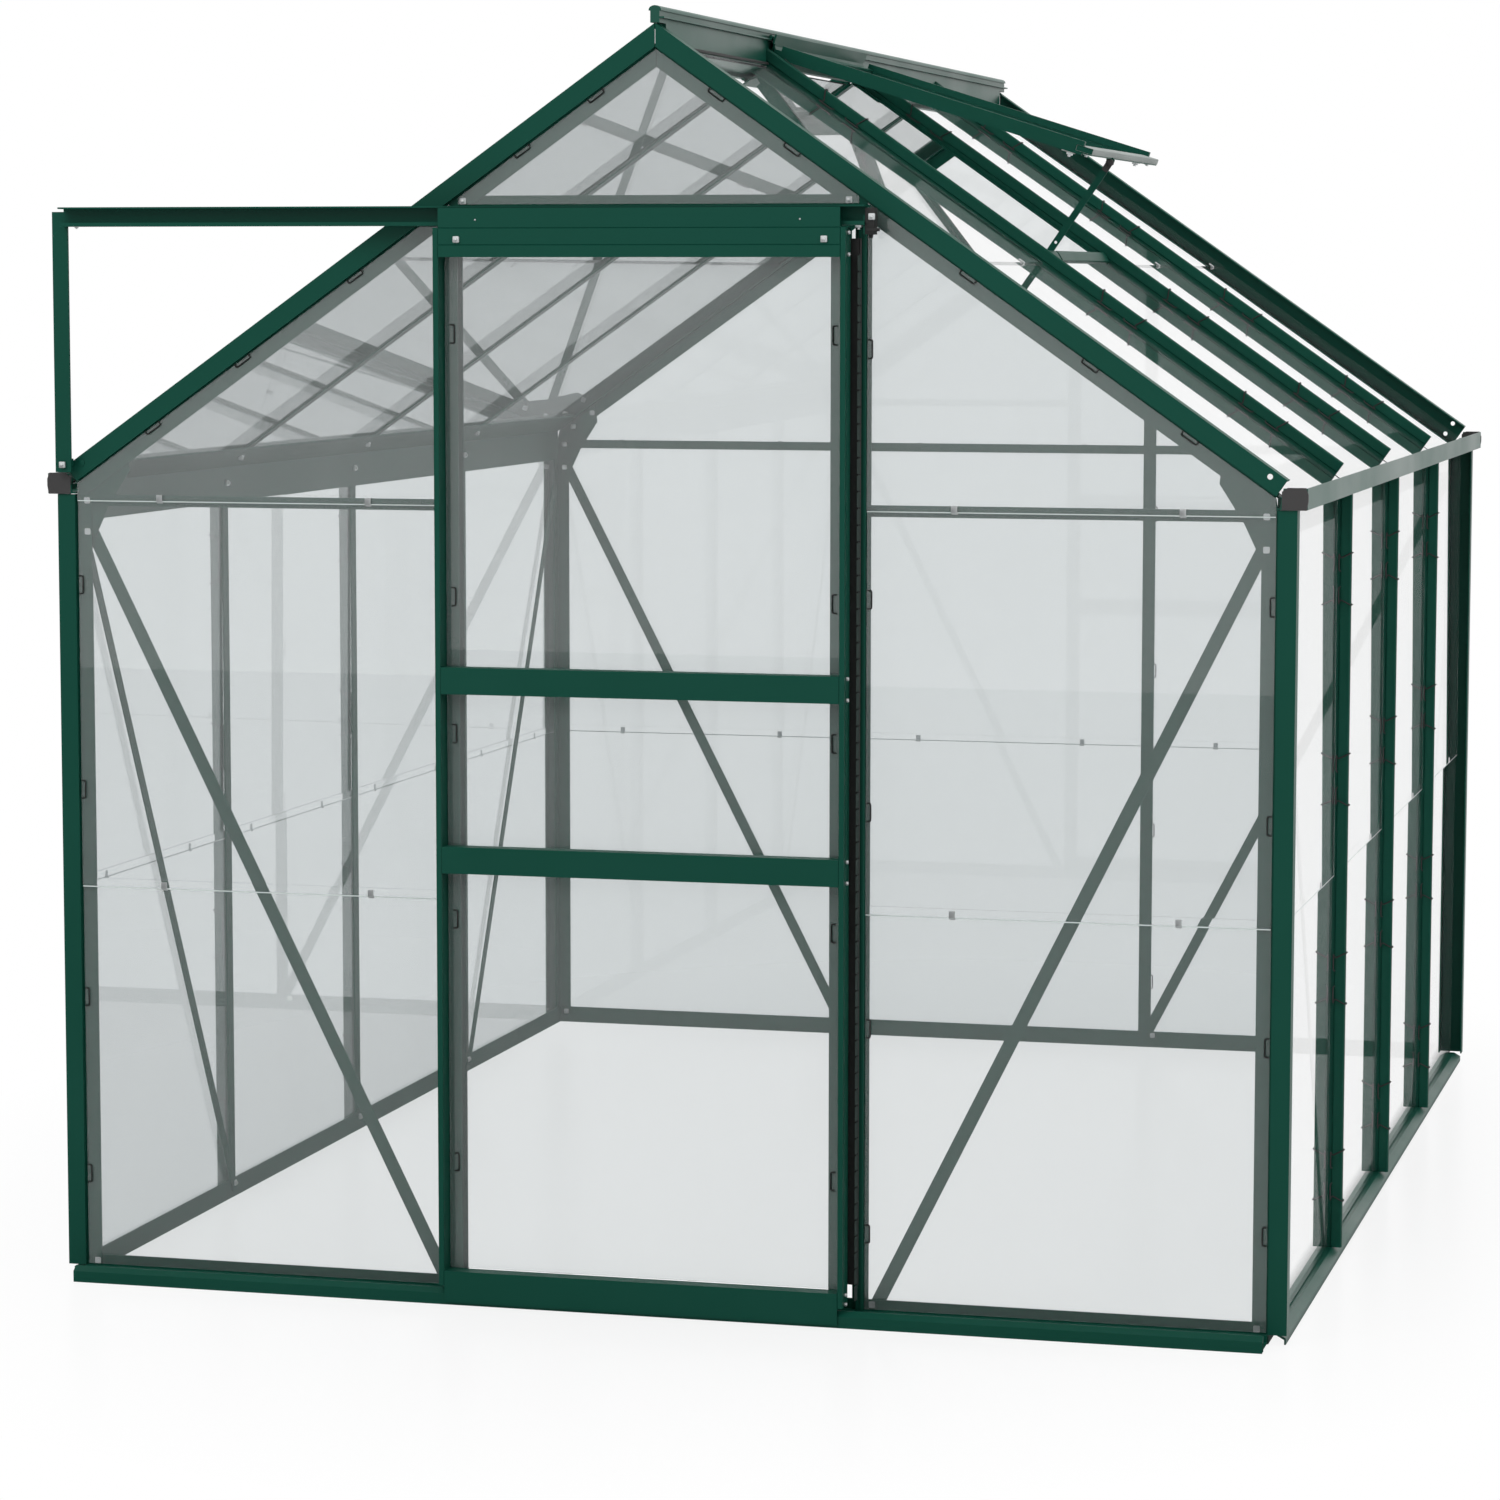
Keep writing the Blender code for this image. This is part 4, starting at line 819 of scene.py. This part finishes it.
# %% Lap clip
lap_clip = ribbon("lap_clip", [
    (0.0, 0.0095, 0.0032),
    (0.0, 0.0000, 0.0032),
    (0.0, -0.0008, 0.0024),
    (0.0, -0.0008, -0.0003),
    (0.0, -0.0035, -0.0006),
], X, 0.0046, 0.0007)
pick(lap_clip, "EDGE", lambda edge: edge.is_boundary is False and edge.calc_length() < 0.0008)
bpy.ops.mesh.bevel(offset=0.00015, segments=1)
leave()
INTO_BAY = (0.116, 0.465)
ON_LAP = 0.0036
UNDER_EDGE = 0.0005
ROOF_LAP = 0.5565
for side, side_name in ((-1, "left"), (1, "right")):
    wall = []
    roof = []
    out = Vector((side * SIN, 0, COS))
    uphill = Vector((-side * COS, 0, SIN))
    for bay in range(4):
        for step in INTO_BAY:
            y = BAY * bay + step
            spot = (side * (SIDE_X + ON_LAP), at_y(y), WALL_LAP - UNDER_EDGE)
            wall.append(facing(spot, X * side))
            under_vent = side > 0 and bay == 1
            if not under_vent:
                roof.append(facing(on_roof(side, ROOF_LAP, ON_LAP, y), out, uphill))
    spread(f"{side_name}_wall_lap_clips", lap_clip, wall, SILVER)
    spread(f"{side_name}_roof_lap_clips", lap_clip, roof, SILVER)
SIDE_LAPS = (-0.785, -0.450, 0.450, 0.785)
MIDDLE_LAPS = (-0.159, 0.179)
for end, (out, gable) in UP_OUT.items():
    columns = SIDE_LAPS if end == "front" else SIDE_LAPS + MIDDLE_LAPS
    places = []
    for x in columns:
        for z in (WALL_LAP, EAVE_LAP):
            places.append(facing((x, gable + out * ON_LAP, z - UNDER_EDGE), Y * out))
    spread(f"{end}_gable_lap_clips", lap_clip, places, SILVER)
for template in (screw, flat_head, bar_clip, loop_clip, lap_clip):
    drop(template)

# %% [markdown]
# A dark plastic cap closes each end of the gutters. It is a shallow box with a chamfered lower nose, set
# over the trough's end, so a cube is cut to that outline by bisecting it, then its edges are eased.

# %% Gutter end caps
for side, side_name in ((-1, "left"), (1, "right")):
    for end, low, high in (("front", -0.0036, 0.0012), ("rear", LENGTH - 0.0012, LENGTH + 0.0036)):
        outer = side * 0.9656
        inner = side * 0.9275
        cap = block(f"{side_name}_{end}_gutter_cap",
                    (min(outer, inner), at_y(low), 1.2140), (max(outer, inner), at_y(high), 1.2462))
        for point, slant in (
            ((side * 0.9622, 0, 1.2462), (side * 0.94, 0, 0.34)),
            ((side * 0.9634, 0, 1.2140), (side * 0.985, 0, -0.17)),
            ((side * 0.9275, 0, 1.2405), (side * -SIN, 0, COS)),
        ):
            only(cap)
            bpy.ops.object.mode_set(mode="EDIT")
            bpy.ops.mesh.select_all(action="SELECT")
            bpy.ops.mesh.bisect(plane_co=point, plane_no=slant, use_fill=True, clear_outer=True)
            leave()
        pick(cap, "EDGE", lambda edge: True)
        bpy.ops.mesh.bevel(offset=0.0005, segments=1)
        leave()
        wear(cap, PLASTIC, "frame")
print("caps done")

# %% [markdown]
# The door hangs on two rollers in a track. A black plastic stop closes the track's right end: a block with
# a lower flange and a blunt pin, held by a nut in front. It wraps the metal tab that the track ends in. The
# nut under the track's left end is half as big, so that the door's header can slide past below it.

# %% Track end stop
STOP_FRONT = at_y(-0.0368)
STOP_BACK = at_y(-0.0160)
stop = block("track_end_stop", (0.3247, STOP_FRONT, 1.6052), (0.3382, STOP_BACK, 1.6436))
pick(stop, "FACE", lambda face: face.normal.z < -0.99)
bpy.ops.mesh.inset(thickness=0.0002)
bpy.ops.transform.resize(value=(0.42, 0.5, 1.0))
bpy.ops.mesh.extrude_region_move(TRANSFORM_OT_translate={"value": (0.0, 0.0, -0.0052)})
bpy.ops.transform.resize(value=(0.7, 0.7, 1.0))
leave()
pick(stop, "EDGE", lambda edge: edge.calc_length() > 0.003)
bpy.ops.mesh.bevel(offset=0.0006, segments=2)
leave()
foot = block("stop_foot",
             (0.3262, STOP_FRONT - 0.0012, 1.6100), (0.3424, STOP_BACK + 0.0006, 1.6146))
pick(foot, "EDGE", upright)
bpy.ops.mesh.bevel(offset=0.0016, segments=3)
leave()
cheek = block("stop_cheek",
              (0.3255, STOP_FRONT - 0.0008, 1.6210), (0.3300, STOP_BACK + 0.0005, 1.6400))
pick(cheek, "EDGE", lambda edge: True)
bpy.ops.mesh.bevel(offset=0.0005, segments=1)
leave()
wear(join("track_end_stop", [stop, foot, cheek]), DARK, "frame")
TRACK_UNDER = 1.6187
spread("track_nuts", nut, [
    facing((0.3352, STOP_FRONT - 0.0003, 1.6309), -Y),
    facing((0.3140, at_y(-0.0300), TRACK_UNDER), -Z, Y),
    facing((-0.9000, at_y(-0.0300), TRACK_UNDER), -Z, Y) @ Matrix.Scale(0.5, 4),
], SILVER)

# %% [markdown]
# The right edge of the door closes against a brush: tufts of dark bristle in a thin carrier on the gable
# bar, with a rubber blade beside it. One tuft is a tapered block; it is copied up the bar, and stops short
# of the sill, where one last tuft stands.

# %% Door seal and brush
SEAL_LOW = 0.0560
SEAL_HIGH = 1.6000
blade = block("door_seal",
              (0.2900, at_y(-0.0046), SEAL_LOW), (0.3085, at_y(-0.0004), SEAL_HIGH))
pick(blade, "FACE", lambda face: face.normal.x < -0.99)
bpy.ops.transform.resize(value=(1.0, 0.35, 1.0))
leave()
pick(blade, "EDGE", upright)
bpy.ops.mesh.bevel(offset=0.0004, segments=2)
leave()
wear(blade, DARK, "frame")
carrier = block("brush_carrier",
                (0.3088, at_y(-0.0030), SEAL_LOW), (0.3118, at_y(-0.0003), SEAL_HIGH))
pick(carrier, "EDGE", upright)
bpy.ops.mesh.bevel(offset=0.0007, segments=2)
leave()
wear(carrier, PLASTIC, "frame")
tuft = block("tuft", (-0.0006, 0.0, -0.0115), (0.0006, 0.0170, 0.0115))
pick(tuft, "FACE", lambda face: face.normal.y > 0.99)
bpy.ops.transform.resize(value=(0.45, 1.0, 0.93))
leave()
TUFT_COUNT = 62
TUFT_STEP = 0.0245


def tuft_at(height):
    """Place of a tuft that points out of the carrier."""
    point = Vector((0.3103, at_y(-0.0031), height))
    return Matrix.Translation(point) @ Matrix.Rotation(math.pi, 4, "Z")


spread("door_brush", tuft, [tuft_at(0.0700 + step * TUFT_STEP) for step in range(TUFT_COUNT)],
       BRISTLE, "frame")
spread("door_brush_foot", tuft, [tuft_at(0.0455)], BRISTLE, "frame")
drop(tuft)

# %% [markdown]
# A black rubber strip seals the top of the roof panes under the ridge. It is a small half-round bead, so
# the upper edges of a long block are bevelled until they meet.

# %% Ridge seals
def bay_span(bay, at_gable, at_bar=0.0075):
    """Start and end of a strip that lies in one bay, clear of the bars on both sides."""
    start = BAY * bay + (at_gable if bay == 0 else at_bar)
    end = BAY * (bay + 1) - (at_gable if bay == 3 else at_bar)
    return at_y(start), at_y(end)


SEAL_FOOT_Z = 1.8812
SEAL_TOP_Z = 1.8852
for side, side_name in ((-1, "left"), (1, "right")):
    beads = []
    for bay in range(4):
        under_vent = side > 0 and bay == 1
        if under_vent:
            continue
        start, end = bay_span(bay, 0.0300)
        near, far = sorted((side * 0.0074, side * 0.0116))
        bead = block("bead", (near, start, SEAL_FOOT_Z), (far, end, SEAL_TOP_Z))
        pick(bead, "EDGE", lambda edge: all(vertex.co.z > 1.885 for vertex in edge.verts)
             and abs(edge.verts[0].co.y - edge.verts[1].co.y) > 0.1)
        bpy.ops.mesh.bevel(offset=0.0017, segments=3)
        leave()
        beads.append(bead)
    wear(join(f"{side_name}_ridge_seal", beads), DARK, "frame")

# %% [markdown]
# The vent turns about the ridge and is held open by a flat green stay. Its lower bar is bare metal, hollow
# at its ends and bolted under the side rails. The vent's own directions, run down its slope and rise out
# of it, place its parts.

# %% Vent directions
VENT_OPEN = math.radians(17.48)
HINGE = Vector((0.0125, 0.0, 1.9260))
RUN = Vector((math.cos(VENT_OPEN), 0, -math.sin(VENT_OPEN)))
RISE = Vector((math.sin(VENT_OPEN), 0, math.cos(VENT_OPEN)))
VENT_TURN = Matrix((RUN, Y, RISE)).transposed().to_4x4()


def on_vent(a, b, y):
    """Point on the vent: a down its slope from the hinge, b out of it."""
    return HINGE + RUN * a + RISE * b + Y * at_y(y)


def onto_vent(piece):
    """Turn a piece that was shaped lying straight onto the vent, and settle it there."""
    piece.matrix_world = Matrix.Translation(HINGE + Y * at_y(0.0)) @ VENT_TURN
    return settle(piece)


# %% Vent lower bar, its end plates and nuts
bar = block("vent_lower_bar", (0.5254, 0.6372, -0.0256), (0.5527, 1.2528, -0.0164))
pick(bar, "EDGE", lambda edge: abs(edge.verts[0].co.y - edge.verts[1].co.y) > 0.1)
bpy.ops.mesh.bevel(offset=0.0009, segments=2)
leave()
pick(bar, "FACE", lambda face: face.normal.z < -0.99)
bpy.ops.mesh.inset(thickness=0.0030)
bpy.ops.mesh.extrude_region_move(TRANSFORM_OT_translate={"value": (0, 0, 0.0001)})
leave()
pick(bar, "FACE", lambda face: abs(face.normal.y) > 0.99 and face.calc_area() > 0.0001)
bpy.ops.mesh.inset(thickness=0.0014, depth=-0.0060)
leave()
wear(onto_vent(bar), BARE, "roof_vent")
VENT_RAILS = (0.6435, 1.2465)
plates = []
for y in VENT_RAILS:
    plate = block("plate", (0.5030, y - 0.0052, -0.0325), (0.5250, y + 0.0052, -0.0311))
    pick(plate, "EDGE", upright)
    bpy.ops.mesh.bevel(offset=0.0018, segments=3)
    leave()
    plates.append(onto_vent(plate))
wear(join("vent_bar_plates", plates), BARE, "roof_vent")
UNDER_PLATE = (0.5170, -0.0326)
UNDER_BAR = (0.5400, -0.0257)
spots = [(*UNDER_PLATE, y) for y in VENT_RAILS] + [(*UNDER_BAR, y) for y in (0.6600, 1.2300)]
spread("vent_nuts", nut, [facing(on_vent(*spot), -RISE, RUN) for spot in spots],
       SILVER, "roof_vent")

# %% [markdown]
# A black plastic cap clips over the stay's pin, so the stay can't slip off it: a short disc with a domed
# rim, and a small arm that lies along the stay.

# %% Stay cap
STAY_Y = 0.8200
PIVOT = on_vent(0.5512, -0.0335, STAY_Y)
STAY_FOOT = Vector((0.3613, at_y(STAY_Y), 1.4838))
cap = disc("stay_cap", 0.0064, 0.0, 0.0036, 24)
pick(cap, "EDGE", lambda edge: all(vertex.co.z > 0.0035 for vertex in edge.verts))
bpy.ops.mesh.bevel(offset=0.0014, segments=3)
leave()
arm = block("stay_cap_arm", (-0.0052, -0.0160, 0.0), (0.0052, -0.0010, 0.0022))
pick(arm, "EDGE", upright)
bpy.ops.mesh.bevel(offset=0.0018, segments=3)
leave()
cap = join("stay_cap", [cap, arm])
cap.matrix_world = facing((PIVOT.x, at_y(0.8187), PIVOT.z), -Y, PIVOT - STAY_FOOT)
wear(settle(cap), PLASTIC, "vent_stay")
drop(nut)
print("vent fittings done")

# %% [markdown]
# The cut edge of a pane looks pale, because light gathers in it. A thin pale strip under the lower
# edge of each upper pane paints that light as a highlight where two panes lap, on the walls and the gables.

# %% Pale edges at the laps
edges = {"left": [], "right": [], "front": [], "rear": []}


def edge_strip(low, high):
    """Thin strip between two corners, its long edges eased."""
    strip = block("edge", low, high)
    pick(strip, "EDGE", lambda edge: edge.calc_length() > 0.1)
    bpy.ops.mesh.bevel(offset=0.0004, segments=1)
    leave()
    return strip


STRIP_LOW = 0.0020
STRIP_HIGH = 0.0004
for side, side_name in ((-1, "left"), (1, "right")):
    for bay in range(4):
        start, end = bay_span(bay, 0.0125)
        near, far = sorted((side * (SIDE_X + ON_LAP), side * (SIDE_X + LAPPED_FACE)))
        strip = edge_strip((near, start, WALL_LAP - STRIP_LOW), (far, end, WALL_LAP - STRIP_HIGH))
        edges[side_name].append(strip)
for end, (out, gable) in UP_OUT.items():
    near, far = sorted((gable + out * ON_LAP, gable + out * LAPPED_FACE))
    spans = [(-0.9185, -0.3200), (0.3200, 0.9185)]
    if end == "rear":
        spans.append((-0.3050, 0.3050))
    for left, right in spans:
        for z in (WALL_LAP, EAVE_LAP):
            edges[end].append(edge_strip((left, near, z - STRIP_LOW), (right, far, z - STRIP_HIGH)))
for name, strips in edges.items():
    wear(join(f"{name}_pane_edges", strips), EDGE_HIGHLIGHT, "frame")

# %% [markdown]
# Only the right rafter's hole stays open; a painted plug closes the left one behind the strut.

# %% Plug of the left rafter
plug = disc("left_rafter_plug", 0.0052, 0.0, 0.0012, 24)
pick(plug, "EDGE", lambda edge: all(vertex.co.z > 0.0011 for vertex in edge.verts))
bpy.ops.mesh.bevel(offset=0.0005, segments=2)
leave()
spot = on_roof(-1, 1.1011, 0.0155, 0.0)
plug.matrix_world = facing((spot.x, at_y(-0.0001), spot.z), -Y)
wear(settle(plug), GREEN, "frame")
